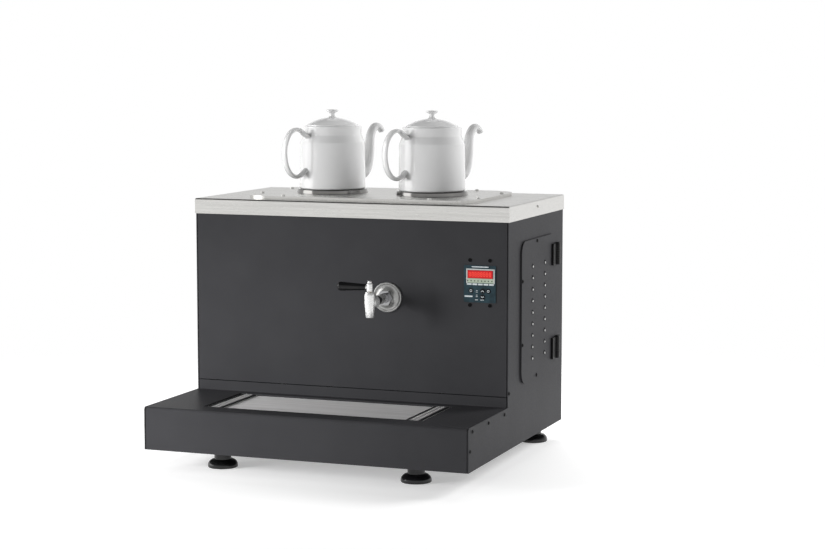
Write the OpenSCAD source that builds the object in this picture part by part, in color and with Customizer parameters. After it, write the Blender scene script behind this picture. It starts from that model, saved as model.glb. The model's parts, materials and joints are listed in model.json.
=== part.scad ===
// Counter-top tea urn: a hot-water boiler in a painted sheet casing, with a lever tap over a
// drip tray, a digital controller, a hinged service door and two teapots on steam seats.
// Millimetres, +Z up, front facing -Y. The origin lies on the standing surface, in the middle
// of the footprint. Modules are drawn with the front panel's outer face at y = 0 and are then
// moved to the origin by placed().

/* [Casing] */
// Width over the side panels
body_w = 560; // [520:1:640]
// Depth of the upright body
body_d = 308; // [290:1:360]
// Reach of the drip base in front of the front panel
tray_d = 197; // [185:1:240]
// Height of the drip base, from its underside to the deck
base_h = 70.5; // [64:0.5:90]
// Height of the front panel, from the deck to the rim of the cover
body_h = 302.5; // [295:0.5:340]
// Thickness of the painted sheet
sheet_t = 1.5; // [1.2:0.1:2]
// Gap at the seams between panels
seam = 1.2; // [0.9:0.1:2]
// Bend radius of the deck's front edge
bend_r = 5; // [3:0.5:8]
// Height of the deck's upturned back edge
upstand_h = 16.5; // [12:0.5:22]
// Width of the turned-in edges that take the screws
flange_w = 18; // [15:1:22]
// Distance of the deck's first side screw from the base's front
deck_screw_front = 19; // [14:0.5:40]
// Distance of the deck's last side screw from the front panel
deck_screw_rear = 18; // [10:0.5:40]
// Height of the apron's screws over the casing's underside
apron_screw_up = 33; // [20:0.5:40]
// Distance of the front panel's lower screws behind its face
panel_screw_in = 5.5; // [5:0.5:10]
// Height of the front panel's lower screws over its lower seam
panel_screw_up = 5; // [4:0.5:20]
// Distance of the back panel's outer screws from the casing's ends
back_screw_end = 30; // [20:1:50]
// Length of the vent slots in the back panel
slot_w = 90; // [60:1:110]
// Height of a vent slot
slot_h = 5; // [3:0.5:8]
// Number of vent slots in a column
slot_rows = 6; // [3:1:8]
// Distance between vent slots
slot_pitch = 14; // [12:0.5:20]
// Height of the lowest vent slot over the casing's underside
slot_up = 50; // [30:1:70]
// Distance between the two columns of vent slots
slot_column = 150; // [130:1:160]

/* [Fasteners] */
// Shank diameter of the casing screws
screw_d = 3.5; // [3:0.1:4]
// Head diameter of the casing screws
screw_head_d = 5.6; // [5:0.1:7.6]
// Head height of the casing screws
screw_head_h = 1.2; // [1:0.1:2.5]
// Distance of the casing screws from the edges that they hold
screw_inset = 8; // [7:0.1:9]
// Length of a screw's end behind the sheets that it holds
screw_end = 3; // [2:0.1:4]
// Shank diameter of the pot plate's screws
plate_screw_d = 4; // [3:0.1:5]
// Head diameter of the pot plate's screws
plate_screw_head_d = 7; // [6:0.1:11]
// Head height of the pot plate's screws
plate_screw_head_h = 2.2; // [2:0.1:4]
// Shank diameter of the controller's and the door's screws
small_screw_d = 3; // [2.4:0.1:3]
// Head diameter of the controller's and the door's screws
small_screw_head_d = 6; // [5:0.1:6.4]
// Head height of the controller's and the door's screws
small_screw_head_h = 1.2; // [1:0.1:2.5]

/* [Feet] */
// Height of the feet under the casing
foot_h = 33; // [28:0.5:45]
// Diameter of a foot's pad
pad_d = 50; // [40:1:60]
// Diameter of a foot's neck
neck_d = 28; // [20:1:30]
// Height of the pad's upright edge
pad_edge_h = 3; // [2:0.5:8]
// Height of the bell between the pad's edge and the neck
bell_h = 10.5; // [10:0.5:18]
// Diameter of the foot's threaded stud
stud_d = 10; // [8:1:12]
// Chamfer round the pad's underside
pad_chamfer = 1.5; // [0.5:0.1:2.5]
// Width over the flats of a foot's nut
foot_nut_w = 17; // [16:1:19]
// Height of a foot's nut
foot_nut_h = 8; // [6:0.5:10]
// Length of the stud over its nut
stud_end = 4; // [2:0.5:8]
// Distance of the front feet from the casing's sides
front_foot_x = 110; // [60:1:130]
// Distance of the front feet from the base's front
front_foot_y = 65; // [45:1:80]
// Distance of the rear feet from the casing's sides
rear_foot_x = 38; // [34:1:60]
// Distance of the rear feet from the casing's back
rear_foot_y = 45; // [38:1:60]

/* [Cover] */
// Height of the cover's rim
rim_h = 26; // [22:0.5:34]
// Thickness of the stainless cover
cover_t = 1.5; // [1:0.1:2]
// Bend radius round the cover's top
cover_bend = 3; // [2.5:0.5:5]
// Height of the rim's side screws over the rim's lower edge
rim_screw_up = 15; // [8:0.5:16]
// Diameter of the head of the cover's screws
rim_screw_head_d = 5; // [4.6:0.1:7]

/* [Pot stand] */
// Width of the pot plate
plate_w = 414; // [400:1:440]
// Depth of the pot plate
plate_d = 264; // [250:1:275]
// Corner radius of the pot plate
plate_r = 50; // [30:1:70]
// Height of the pot plate over the cover
plate_rise = 5; // [4:0.5:8]
// Thickness of the pot plate's sheet
plate_t = 1.2; // [0.8:0.1:1.6]
// Width of the plate's gasket
gasket_w = 22; // [18:1:26]
// Distance of the plate's screws from its edge
plate_screw_inset = 10; // [8:0.5:12]
// Distance of the front and back screws from the plate's middle
plate_screw_x = 132; // [100:1:145]
// Distance of the side screws from the plate's middle
plate_screw_y = 64; // [30:1:70]
// Distance between the two pot axes
pot_pitch = 184; // [176:1:196]
// Outer diameter of a pot seat
seat_d = 124; // [119:1:130]
// Height of a pot seat over the plate
seat_h = 7; // [6:0.5:14]
// Steam bore of a pot seat
seat_bore_d = 88; // [70:1:96]
// Thickness of the seat's sheet
seat_t = 1.5; // [1:0.1:2]
// Bend radius of the seat's upper edge
seat_bend = 2; // [1:0.5:3]
// Lean of the seat's skirt
seat_taper = 1; // [0.5:0.1:1.5]
// Length of the seat's spigot inside the tank
spigot_in = 4; // [2:0.5:8]

/* [Teapots] */
// Diameter of a pot's body at its base
pot_d = 115; // [108:1:118]
// Diameter of the pot's body below the shoulder
pot_top_d = 112.6; // [106:0.2:118]
// Diameter of the pot's neck
pot_neck_d = 101; // [96:1:104]
// Height of the pot's straight body
pot_body_h = 81; // [72:0.5:86]
// Height of the sloping shoulder
pot_shoulder_h = 11.5; // [8:0.5:16]
// Height of the neck
pot_neck_h = 16; // [12:0.5:20]
// Wall of the porcelain
pot_wall = 4; // [3:0.2:5]
// Thickness of the pot's floor
pot_floor = 5; // [4:0.5:8]
// Rounding of the pot's foot, outside and inside
pot_foot_r = 3; // [2:0.5:5]
// Rounding of the pot's lip
pot_lip_r = 1.5; // [1:0.1:2]
// Depth of the gallery that the lid lies in
gallery_h = 4; // [3:0.5:5]
// Width of the gallery's ledge
gallery_w = 5; // [4:0.5:6]
// Direction of the handles, turned from +X about +Z
pot_turn = 237.5; // [225:0.5:250]
// Distance of the handle's middle from the pot's body
handle_out = 17.5; // [15:0.5:22]
// Height of the handle's middle over the pot's middle
handle_up = 8.5; // [4:0.5:10]
// Half depth of the handle's loop
handle_a = 25; // [22:0.5:32]
// Half height of the handle's loop
handle_b = 40.5; // [34:0.5:42]
// Thickness of the handle's strap
strap_t = 7; // [5:0.5:9]
// Width of the handle's strap
strap_w = 14; // [10:0.5:18]
// Wall of the spout
spout_wall = 3; // [2.4:0.1:3.6]
// Diameter of the pot lid
lid_d = 89; // [84:0.5:91]
// Height of the lid's dome over the pot's rim
lid_rise = 14.5; // [12:0.5:20]
// Height of the lid's upright edge over the pot's rim
lid_edge_h = 2; // [1:0.5:4]
// Height of the lid's knob
knob_h = 14; // [12:0.5:20]
// Diameter of the lid's knob
knob_d = 21.5; // [18:0.5:26]
// Diameter of the knob's stem
knob_stem_d = 9.5; // [8:0.5:12]
// Depth of the lid's skirt
skirt_h = 7; // [5:0.5:10]
// Thickness of the lid's skirt
skirt_t = 3; // [2:0.5:4]

/* [Tap] */
// Sideways place of the tap
tap_x = 70.5; // [0:0.5:110]
// Height of the tap's shank over the deck
tap_h = 173; // [160:0.5:190]
// Distance of the tap's axis from the front panel
tap_reach = 80; // [70:0.5:95]
// Diameter of the tap's wall flange
tap_flange_d = 50; // [44:1:60]
// Thickness of the tap's wall flange
tap_flange_t = 8; // [6:0.5:10]
// Outer diameter of the shank
shank_d = 16; // [14:0.5:18]
// Bore of the shank
shank_bore_d = 9; // [7:0.5:10]
// Diameter of the tap's body
tap_body_d = 17.4; // [16:0.2:20]
// Diameter of the tap's outlet
outlet_d = 13; // [12:0.2:15]
// Bore of the outlet
outlet_bore_d = 9; // [7:0.2:9.6]
// Length of the tap's body below the shank
tap_drop = 24.5; // [22:0.5:32]
// Length of the tap's body above the shank
tap_neck = 17.5; // [16:0.5:22]
// Wall round the shank in the tap's boss
tap_boss_wall = 2; // [1.5:0.1:3]
// Length of the tap's boss from the tap's axis
tap_boss_l = 20; // [18:0.5:24]
// Depth of the boss's socket for the shank
tap_socket_l = 10; // [6:0.5:11]
// Width over the flats of the shank's nuts
tap_nut_w = 24; // [22:1:27]
// Height of the shank's nuts
tap_nut_h = 8; // [6:0.5:10]
// Diameter of the turning plug
plug_d = 10.4; // [10:0.2:11.6]
// Length of the plug below the shank's axis
plug_drop = 13; // [10:0.5:15]
// Wall of the plug round its port
plug_wall = 1.7; // [1.5:0.1:2.2]
// Diameter of the plug's stem
plug_stem_d = 6; // [5:0.2:6.6]
// Length of the plug's stem
plug_stem_l = 12; // [9:0.5:13]
// Diameter of the lever's hub
hub_d = 10; // [9:0.2:12]
// Height of the lever's hub
hub_h = 14; // [12:0.5:16]
// Length of the lever from the tap's axis
lever_l = 55.5; // [45:0.5:70]
// Diameter of the lever at its tip
lever_d = 15; // [12:0.5:18]
// Diameter of the lever at its root
lever_root_d = 10; // [8:0.5:11]
// Diameter of the hub's boss that carries the lever
lever_boss_d = 6.8; // [5:0.2:7.4]
// Rounding of the lever's tip
lever_dome = 5; // [3:0.5:6]

/* [Controller] */
// Distance of the controller's middle from the casing's right side
control_inset = 48.6; // [44:0.2:60]
// Height of the controller's middle over the deck
control_h = 201.2; // [180:0.2:220]
// Width of the fascia
fascia_w = 54.8; // [52:0.2:60]
// Height of the fascia
fascia_h = 60.6; // [58:0.2:66]
// Thickness of the fascia
fascia_t = 1.2; // [1:0.1:2]
// Overlap of the fascia's edge with the front panel
fascia_lap = 4; // [3:0.1:4.2]
// Width of the display
display_w = 43.4; // [40:0.2:46]
// Height of the display
display_h = 12.8; // [11:0.2:14]
// Height of the display's middle over the controller's middle
display_up = 15.6; // [14:0.2:17]
// Height of the row of lamps over the controller's middle
lamp_up = 5; // [4:0.2:6]
// Number of lamps
lamp_count = 8; // [4:1:8]
// Distance between lamps
lamp_pitch = 5.9; // [5.2:0.1:6]
// Diameter of a lamp
lamp_d = 2.2; // [1.8:0.1:2.6]
// Diameter of a button
button_d = 8; // [7:0.1:8.6]
// Sideways place of the menu button from the controller's middle
menu_x = -15; // [-18:0.1:-8]
// Sideways place of the up and down buttons from the controller's middle
arrow_x = 4.8; // [2:0.1:5.4]
// Sideways place of the enter button from the controller's middle
enter_x = 14.7; // [14.2:0.1:18]
// Depth of the upper buttons under the controller's middle
button_down_1 = 11.2; // [10:0.1:12]
// Depth of the lower button under the controller's middle
button_down_2 = 21.4; // [20.6:0.1:21.6]
// Travel of a button
button_travel = 0.8; // [0.5:0.1:1]
// Height of a button over the fascia
button_rise = 1; // [0.9:0.1:1.6]
// Sideways distance between the controller's screws
control_screw_w = 34.2; // [30:0.2:38]
// Height of the upper screws over the controller's middle
control_screw_up = 38.6; // [37:0.2:44]
// Depth of the lower screws under the controller's middle
control_screw_down = 35; // [34.5:0.1:42]
// Distance of the circuit board behind the front panel
board_gap = 6.5; // [6:0.1:9]
// Thickness of the circuit board
board_t = 1.6; // [1.2:0.1:2]
// Distance of the board's edge from its screws
board_edge = 7; // [5:0.5:9]
// Outer diameter of the board's spacers
spacer_d = 6; // [5:0.2:8]
// Width of the transformer behind the board
power_w = 28; // [24:1:34]
// Depth of the transformer
power_d = 18; // [14:1:22]
// Height of the transformer
power_h = 24; // [20:1:30]
// Width of the switch under a button
switch_w = 6; // [5:0.2:7]

/* [Service door] */
// Width of the door
door_w = 189; // [170:1:200]
// Height of the door
door_h = 237; // [225:1:255]
// Corner radius of the door
door_r = 20; // [12:1:30]
// Distance of the door's front edge from the front panel
door_y = 63; // [50:1:70]
// Height of the door's lower edge over the deck
door_up = 28.5; // [20:0.5:34]
// Rise of the door over the side panel
door_rise = 3; // [2.5:0.1:5]
// Overlap of the door with the side panel
door_lap = 9; // [8:0.5:12]
// Distance of the door's screws from its edges
door_screw_inset = 4.5; // [4:0.1:6]
// Distance of the front edge's screws from the door's middle
door_screw_z = 53; // [40:1:80]
// Distance of the upper and lower screws in front of the door's middle
door_screw_y = 10.5; // [0:0.5:40]
// Diameter of a vent hole
vent_d = 6; // [4:0.5:8]
// Drop of the vents' middle under the door's middle
vent_drop = 4; // [0:0.5:10]
// Width of a vent hole's raised lip
vent_lip_w = 1; // [0.6:0.1:1.6]
// Height of a vent hole's raised lip
vent_lip_h = 0.8; // [0.4:0.1:1.5]
// Number of vent holes in a column
vent_rows = 9; // [5:1:9]
// Distance between vent holes
vent_pitch = 19.4; // [14:0.2:20]
// Distance between the two columns of vent holes
vent_w = 70; // [50:1:90]
// Height of a hinge
hinge_h = 37; // [30:1:44]
// Width of one hinge leaf
hinge_w = 22; // [18:1:26]
// Thickness of a hinge leaf
hinge_t = 4; // [3:0.1:5]
// Diameter of a hinge knuckle
knuckle_d = 8; // [7:0.2:10]
// Diameter of a hinge pin
hinge_pin_d = 4; // [3:0.2:5]
// Distance of the hinge pins behind the door
hinge_back = 0.8; // [0.6:0.1:1.5]
// Distance between the two hinges
hinge_pitch = 163; // [140:1:175]
// Height of the hinges' middle over the door's middle
hinge_up = 1; // [0:0.5:8]

/* [Drip tray] */
// Width of the recess in the deck
recess_w = 382; // [340:1:420]
// Depth of the recess, front to back
recess_d = 139; // [128:1:150]
// Distance of the recess from the front panel
recess_y = 19; // [12:0.5:26]
// Width of the ledge in the recess
ledge_w = 8; // [6:0.5:10]
// Thickness of the drip pan's sheet
pan_t = 1; // [0.8:0.1:1.4]
// Depth of the drip pan
pan_h = 36; // [25:0.5:44]
// Diameter of a grate rod
rod_d = 4; // [3:0.1:4.6]
// Number of grate rods
rod_count = 18; // [12:1:18]
// Distance between grate rods
rod_pitch = 7.7; // [6.6:0.1:7.8]
// Width of a grate strip
strip_w = 5; // [3:0.5:7]
// Thickness of a grate strip
strip_t = 1.4; // [1:0.1:2]
// Distance of the rods' ends from the recess
rod_gap = 3; // [2:0.5:5]
// Depth of the strips' top under the deck
grate_sink = 0.6; // [0.2:0.1:2]
// Distance of the grate's bars from its middle
bar_x = 125; // [80:1:150]
// Distance of the bars' ends from the pan's edge
bar_gap = 4; // [3:0.5:8]
// Depth of the weld where a bar crosses a rod
weld = 0.4; // [0.2:0.1:0.8]
// Distance of the outer strips from the rods' ends
strip_inset = 4.5; // [4:0.5:8]
// Distance between the two strips at one end
strip_pitch = 21; // [12:0.5:26]

/* [Boiler] */
// Width of the service bay inside the right side
bay_w = 75; // [70:1:85]
// Space between the insulation and the casing
tank_space = 14.5; // [12:0.5:18]
// Thickness of the insulation
jacket_t = 20; // [16:0.5:22]
// Space round the fittings in the insulation
jacket_room = 2; // [1:0.5:4]
// Wall of the tank
tank_t = 1.5; // [1:0.1:2]
// Corner radius of the tank
tank_r = 12; // [8:0.5:16]
// Width of a leg of the tank's stand
leg_w = 24; // [18:1:30]
// Width of the feet of the tank's stand
leg_foot_w = 30; // [20:1:36]
// Thickness of the stand's sheet
leg_t = 2; // [1.5:0.1:3]
// Height of the tap's shank over the tank's floor
tank_drop = 40; // [36:0.5:60]
// Diameter of the heating tube
heater_d = 8; // [6:0.5:10]
// Distance between the heater's two legs
heater_gap = 26; // [20:0.5:30]
// Diameter of the heater's flange
heater_flange_d = 56; // [52:1:60]
// Thickness of the heater's flange
heater_flange_t = 5; // [4:0.5:6]
// Height of the heater's flange over the tank's floor
heater_up = 4; // [3:0.5:10]
// Distance of the heater's loop from the tank's left wall
heater_end = 73; // [50:1:120]
// Length of the heater's terminals
heater_pin_l = 10; // [6:0.5:12]
// Diameter of the temperature probe
probe_d = 6; // [4:0.5:8]
// Width over the flats of the probe's nut
probe_nut_w = 14; // [12:0.5:16]
// Length of the temperature probe in the tank
probe_l = 70; // [40:1:90]
// Distance of the probe and the cut-out in front of the tank's middle
probe_y = 60; // [50:1:80]
// Height of the probe over the heater
probe_up = 20; // [16:0.5:40]
// Diameter of the safety cut-out
cutout_d = 26; // [20:0.5:28]
// Thickness of the safety cut-out
cutout_t = 9; // [6:0.5:12]
// Height of the safety cut-out over the heater
cutout_up = 75; // [60:1:100]
// Width of the power relay
relay_w = 45; // [40:1:50]
// Depth of the power relay
relay_d = 60; // [50:1:66]
// Height of the power relay
relay_h = 72; // [60:1:84]
// Distance of the relay behind the front panel
relay_y = 90; // [80:1:100]
// Width of the terminal block
block_w = 26; // [22:1:32]
// Depth of the terminal block
block_d = 66; // [56:1:70]
// Height of the terminal block
block_h = 12; // [10:0.5:16]
// Distance of the terminal block behind the front panel
block_y = 165; // [158:1:180]
// Number of terminals
terminal_count = 6; // [3:1:6]
// Height of the terminals over their block
terminal_h = 10; // [6:0.5:14]
// Diameter of the fill pipe
pipe_d = 10; // [8:0.5:12]
// Bend radius of the fill pipe
pipe_bend = 18; // [14:0.5:22]
// Wall of the fill pipe
pipe_wall = 1; // [0.8:0.1:1.5]
// Length of the fill pipe inside the tank
pipe_in = 8; // [4:0.5:20]
// Distance of the fill pipe from the tank's back
pipe_back = 24; // [22:0.5:34]
// Distance of the fill pipe below the tank's top
pipe_down = 50; // [30:1:80]
// Height of the water and cord connections over the base pan
valve_up = 45; // [40:1:60]
// Size of the valve's block
valve_size = 30; // [26:1:34]
// Diameter of the valve's coil
coil_d = 24; // [18:0.5:26]
// Length of the valve's coil
coil_l = 12; // [8:0.5:16]
// Outer diameter of the water inlet's thread
inlet_d = 26.4; // [20:0.1:27]
// Length of the water inlet's thread
inlet_l = 16; // [12:0.5:20]
// Wall of the water inlet's thread
inlet_wall = 4; // [3:0.5:5]
// Width over the flats of the inlet's collar
inlet_hex_w = 32; // [30:1:36]
// Bore of the cord gland
cord_d = 11; // [8:0.5:12]
// Wall of the cord gland's thread
gland_wall = 4.5; // [3:0.5:6]
// Length of the cord gland's thread inside the casing
gland_l = 8; // [7:0.5:12]
// Width of the gland's shoulders over its thread
gland_lap = 3; // [2:0.5:5]
// Sideways distance between the water and cord connections
gland_pitch = 55; // [50:1:80]
// Reach of the connections behind the casing
rear_reach = 22; // [21:0.5:30]

/* [Fits] */
// Radial clearance of pieces that turn in each other
run_fit = 0.05; // [0.03:0.01:0.08]
// Clearance of pieces that pass through or lift out
slip = 0.4; // [0.3:0.05:0.6]
// Overlap of a cutting shape with the face that it opens
over = 1; // [0.5:0.1:2]

/* [Hidden] */
$fn = 48;

// Colours
paint = "#3a3a3c";
steel = "#c8c8ca";
bright = "#d8d8da";
black = "#141416";
porcelain = "#f2f2f0";
inner_metal = "#a8a8aa";

// Levels and faces of the casing
half = body_w / 2;
inner = half - sheet_t;
edge = inner - seam;
floor_z = foot_h + sheet_t;
deck_z = foot_h + base_h;
upstand_z = deck_z + upstand_h;
rim_z = deck_z + body_h;
cover_z = rim_z + rim_h;
panel_z = cover_z - cover_t - cover_bend;
front_y = (tray_d - body_d - rear_reach) / 2;
mid_y = body_d / 2;

// Levels of the pot stand
plate_z = cover_z + plate_rise;
seat_z = plate_z + seat_h;
seat_spigot_r = seat_bore_d / 2 + seat_t;
seat_hole_r = seat_spigot_r + slip;
seat_spigot_l = plate_rise + cover_t + tank_t + spigot_in;
pot_rim_h = pot_body_h + pot_shoulder_h + pot_neck_h;

// Casing screws, with their places on a side as [y, z]
screw_r = screw_d / 2;
screw_hole_r = screw_r + slip / 2;
deck_screw_z = deck_z - screw_inset;
side_screw_places = [[-tray_d + deck_screw_front, deck_screw_z], [-tray_d / 2, deck_screw_z],
    [-deck_screw_rear, deck_screw_z], [-tray_d + screw_inset, foot_h + apron_screw_up],
    [panel_screw_in, upstand_z + seam + panel_screw_up]];
rim_screw_place = [mid_y, rim_z + rim_screw_up];
back_screw_x = inner - flange_w / 2;
back_screw_heights = [foot_h + back_screw_end, (foot_h + rim_z) / 2, rim_z - back_screw_end];

// Pot plate screws, as [x, y]
plate_screw_r = plate_screw_d / 2;
plate_screw_places = [for (x = [-1, 1], y = [-1, 1]) each
    [[x * plate_screw_x, mid_y + y * (plate_d / 2 - plate_screw_inset)],
     [x * (plate_w / 2 - plate_screw_inset), mid_y + y * plate_screw_y]]];

// Feet, as [x, y]
stud_r = stud_d / 2;
foot_places = [for (y = [-tray_d + front_foot_y, body_d - rear_foot_y], s = [-1, 1])
    [s * (half - (y < 0 ? front_foot_x : rear_foot_x)), y]];

// Tap levels
tap_z = deck_z + tap_h;
shank_r = shank_d / 2;
outlet_z = tap_z - tap_drop;
tap_top_z = tap_z + tap_neck;
plug_r = plug_d / 2;
plug_z = tap_z - plug_drop;
port_r = plug_r - plug_wall;
plug_stem_r = plug_stem_d / 2;
hub_gap = 0.4;
hub_z = tap_top_z + hub_gap;
hub_boss_l = 2;
lever_z = hub_z + hub_h / 2;
lever_start = hub_d / 2 + hub_boss_l;

// Tank and its fittings
tank_x0 = -inner + tank_space / 2 + jacket_t;
tank_x1 = inner - bay_w - jacket_t;
tank_w = tank_x1 - tank_x0;
tank_x = (tank_x0 + tank_x1) / 2;
tank_y0 = sheet_t + tank_space + jacket_t;
tank_d = body_d - 2 * tank_y0;
tank_z = tap_z - tank_drop;
tank_top = cover_z - cover_t;
jacket_gap = 0.5;
heater_z = tank_z + heater_flange_d / 2 + heater_up;
heater_l = tank_w - heater_end - heater_gap / 2 - heater_d / 2;
probe_mid = mid_y - probe_y;
probe_z = heater_z + probe_up;
cutout_z = heater_z + cutout_up;
bay_x = inner - bay_w / 2;
pipe_r = pipe_d / 2;
pipe_y = tank_y0 + tank_d - pipe_back;
pipe_z = tank_top - pipe_down;
valve_z = floor_z + valve_up;
inlet_r = inlet_d / 2;
inlet_neck_r = inlet_r - inlet_wall / 2;
gland_x = bay_x - gland_pitch;
gland_r = cord_d / 2 + gland_wall;

// Controller
control_x = half - control_inset;
control_z = deck_z + control_h;
board_y = sheet_t + board_gap;
small_screw_r = small_screw_d / 2;
lens_fit = 0.15;
button_root = 1;
button_stem_l = 2;
button_stem_d = 3;
lamp_places = [for (i = [0 : lamp_count - 1]) [(i - (lamp_count - 1) / 2) * lamp_pitch, lamp_up]];
button_places = [[menu_x, -button_down_1], [arrow_x, -button_down_1], [enter_x, -button_down_1],
    [arrow_x, -button_down_2]];
control_screw_places = [for (x = [-1, 1], z = [control_screw_up, -control_screw_down])
    [x * control_screw_w / 2, z]];

// Service door, in [y, z] on the right side
door_mid = [door_y + door_w / 2, deck_z + door_up + door_h / 2];
door_screw_places = [for (s = [-1, 1]) each
    [door_mid + [-door_screw_y, s * (door_h / 2 - door_screw_inset)],
     door_mid + [-door_w / 2 + door_screw_inset, s * door_screw_z]]];
vent_places = [for (s = [-1, 1], i = [0 : vent_rows - 1])
    door_mid + [s * vent_w / 2, (i - (vent_rows - 1) / 2) * vent_pitch - vent_drop]];
door_seat = 0.3;
door_x = half + door_rise;
knuckle_r = knuckle_d / 2;
hinge_lift = 0.4;
hinge_x = door_x + knuckle_r + hinge_lift;
hinge_y = door_y + door_w + hinge_back;
hinge_mid_z = door_mid[1] + hinge_up;
hinge_gap = 0.3;

// Drip tray, with its middle behind the base's front edge
recess_mid = -recess_y - recess_d / 2;
rest_gap = slip / 2;
ledge_z = deck_z - grate_sink - strip_t - rod_d - rest_gap - pan_t;
pan_w = recess_w - 2 * ledge_w - 2 * slip;
pan_d = recess_d - 2 * ledge_w - 2 * slip;
rod_z = ledge_z + pan_t + rest_gap + rod_d / 2;
rod_l = recess_w - 2 * rod_gap;
strip_z = rod_z + rod_d / 2;

// Points along an arc round c, from angle a0 to a1
function arc(c, r, a0, a1, n = 8) =
    [for (i = [0 : n]) c + r * [cos(a0 + (a1 - a0) * i / n), sin(a0 + (a1 - a0) * i / n)]];

// Point at t between b and c on a smooth curve through a, b, c, d
function through(a, b, c, d, t) = 0.5 * (2 * b + (c - a) * t + (2 * a - 5 * b + 4 * c - d) * t * t
    + (3 * b - a - 3 * c + d) * t * t * t);

// Smooth list of points through p, with n steps between two points
function smooth(p, n) = [for (i = [1 : len(p) - 3], k = [0 : n - 1])
    through(p[i - 1], p[i], p[i + 1], p[i + 2], k / n), p[len(p) - 2]];

module placed() {
    translate([0, front_y, 0]) children();
}

// A y-z outline drawn out along x, and an x-z outline drawn out along y
module along_x(x, l) {
    translate([x, 0, 0]) rotate([90, 0, 90]) linear_extrude(l) children();
}

module along_y(y, l) {
    translate([0, y + l, 0]) rotate([90, 0, 0]) linear_extrude(l) children();
}

module both_sides() {
    children();
    mirror([1, 0, 0]) children();
}

module rounded_rect(w, d, r) {
    square([w - 2 * r, d], center = true);
    square([w, d - 2 * r], center = true);
    for (x = [-1, 1], y = [-1, 1])
        translate([x * (w / 2 - r), y * (d / 2 - r)]) circle(r);
}

// A rectangle from z0 to z1 whose upper front corner is round
module front_rounded(y0, y1, z0, z1, r) {
    translate([y0 + r, z0]) square([y1 - y0 - r, z1 - z0]);
    translate([y0, z0]) square([r, z1 - z0 - r]);
    translate([y0 + r, z1 - r]) circle(r);
}

// A rectangle from z0 to z1 whose two upper corners are round
module top_rounded(w, z0, z1, r) {
    translate([-w / 2, z0]) square([w, z1 - z0 - r]);
    translate([-w / 2 + r, z0]) square([w - 2 * r, z1 - z0]);
    for (x = [-1, 1])
        translate([x * (w / 2 - r), z1 - r]) circle(r);
}

// A screw that stands on z = 0, with its shank below
module screw(head_r, head_h, shank_r, shank_l) {
    difference() {
        cylinder(r = head_r, h = head_h);
        translate([0, 0, head_h / 2]) hexagon(head_r, head_h);
    }
    translate([0, 0, -shank_l]) cylinder(r = shank_r, h = shank_l);
}

// A six-sided prism, w wide over its flats
module hexagon(w, h) {
    cylinder(d = w / cos(30), h = h, $fn = 6);
}

module hex_nut(w, h, bore_r) {
    difference() {
        hexagon(w, h);
        translate([0, 0, -over]) cylinder(r = bore_r, h = h + 2 * over);
    }
}

module casing_screw(shank_l) {
    screw(screw_head_d / 2, screw_head_h, screw_r, shank_l);
}

module small_screw(shank_l) {
    screw(small_screw_head_d / 2, small_screw_head_h, small_screw_r, shank_l);
}

// Children at each place on the right side, with +Z turned outwards to +X
module on_side(x, places) {
    for (p = places)
        translate([x, p[0], p[1]]) rotate([0, 90, 0]) children();
}

// Children at each [x, z] round the controller's middle, with +Z turned to the front
module on_controller(y, places) {
    for (p = places)
        translate([control_x + p[0], y, control_z + p[1]]) rotate([90, 0, 0]) children();
}

module side_screw_bores() {
    depth = half - edge + 2 * sheet_t;
    on_side(half - depth, side_screw_places) cylinder(r = screw_hole_r, h = depth + over);
}

module rim_screw_bores() {
    on_side(inner - over, [rim_screw_place]) cylinder(r = screw_hole_r, h = sheet_t + cover_t + 2 * over);
}

module back_screw_bores() {
    for (x = [-1, 1], z = back_screw_heights)
        translate([x * back_screw_x, body_d - 2 * sheet_t - over, z]) rotate([-90, 0, 0])
            cylinder(r = screw_hole_r, h = 2 * (sheet_t + over));
}

module side_outline() {
    front_rounded(-tray_d, body_d, foot_h, deck_z, bend_r);
    translate([0, foot_h]) square([body_d, panel_z - foot_h]);
}

// Casing

module base_pan() {
    color(paint) placed() difference() {
        translate([-inner, -tray_d + sheet_t, foot_h])
            cube([2 * inner, tray_d + body_d - 2 * sheet_t, sheet_t]);
        for (p = foot_places)
            translate([p[0], p[1], foot_h - over]) cylinder(r = stud_r + slip, h = sheet_t + 2 * over);
    }
}

// The right side's sheet with its turned-in back edge, before the door is cut
module side_sheet() {
    along_x(inner, sheet_t) side_outline();
    translate([inner - flange_w, body_d - 2 * sheet_t, floor_z])
        cube([flange_w, sheet_t, panel_z - floor_z]);
}

module left_side_panel() {
    color(paint) placed() mirror([1, 0, 0]) difference() {
        side_sheet();
        side_screw_bores();
        rim_screw_bores();
        back_screw_bores();
    }
}

module right_side_panel() {
    color(paint) placed() difference() {
        side_sheet();
        along_x(inner - over, sheet_t + 2 * over) translate(door_mid)
            rounded_rect(door_w - 2 * door_lap, door_h - 2 * door_lap, door_r - door_lap);
        on_side(inner - over, door_screw_places)
            cylinder(r = small_screw_r + slip, h = sheet_t + 2 * over);
        side_screw_bores();
        rim_screw_bores();
        back_screw_bores();
    }
}

module front_panel() {
    z = upstand_z + seam;
    color(paint) placed() difference() {
        union() {
            translate([-edge, 0, z]) cube([2 * edge, sheet_t, panel_z - z]);
            both_sides() translate([edge - sheet_t, 0, z]) cube([sheet_t, flange_w, panel_z - z]);
        }
        translate([tap_x, -over, tap_z]) rotate([-90, 0, 0])
            cylinder(r = shank_r + slip, h = sheet_t + 2 * over);
        along_y(-over, sheet_t + 2 * over) translate([control_x, control_z])
            square([fascia_w - 2 * fascia_lap, fascia_h - 2 * fascia_lap], center = true);
        on_controller(sheet_t + over, control_screw_places)
            cylinder(r = small_screw_r + slip / 2, h = sheet_t + 2 * over);
        both_sides() side_screw_bores();
    }
}

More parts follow.
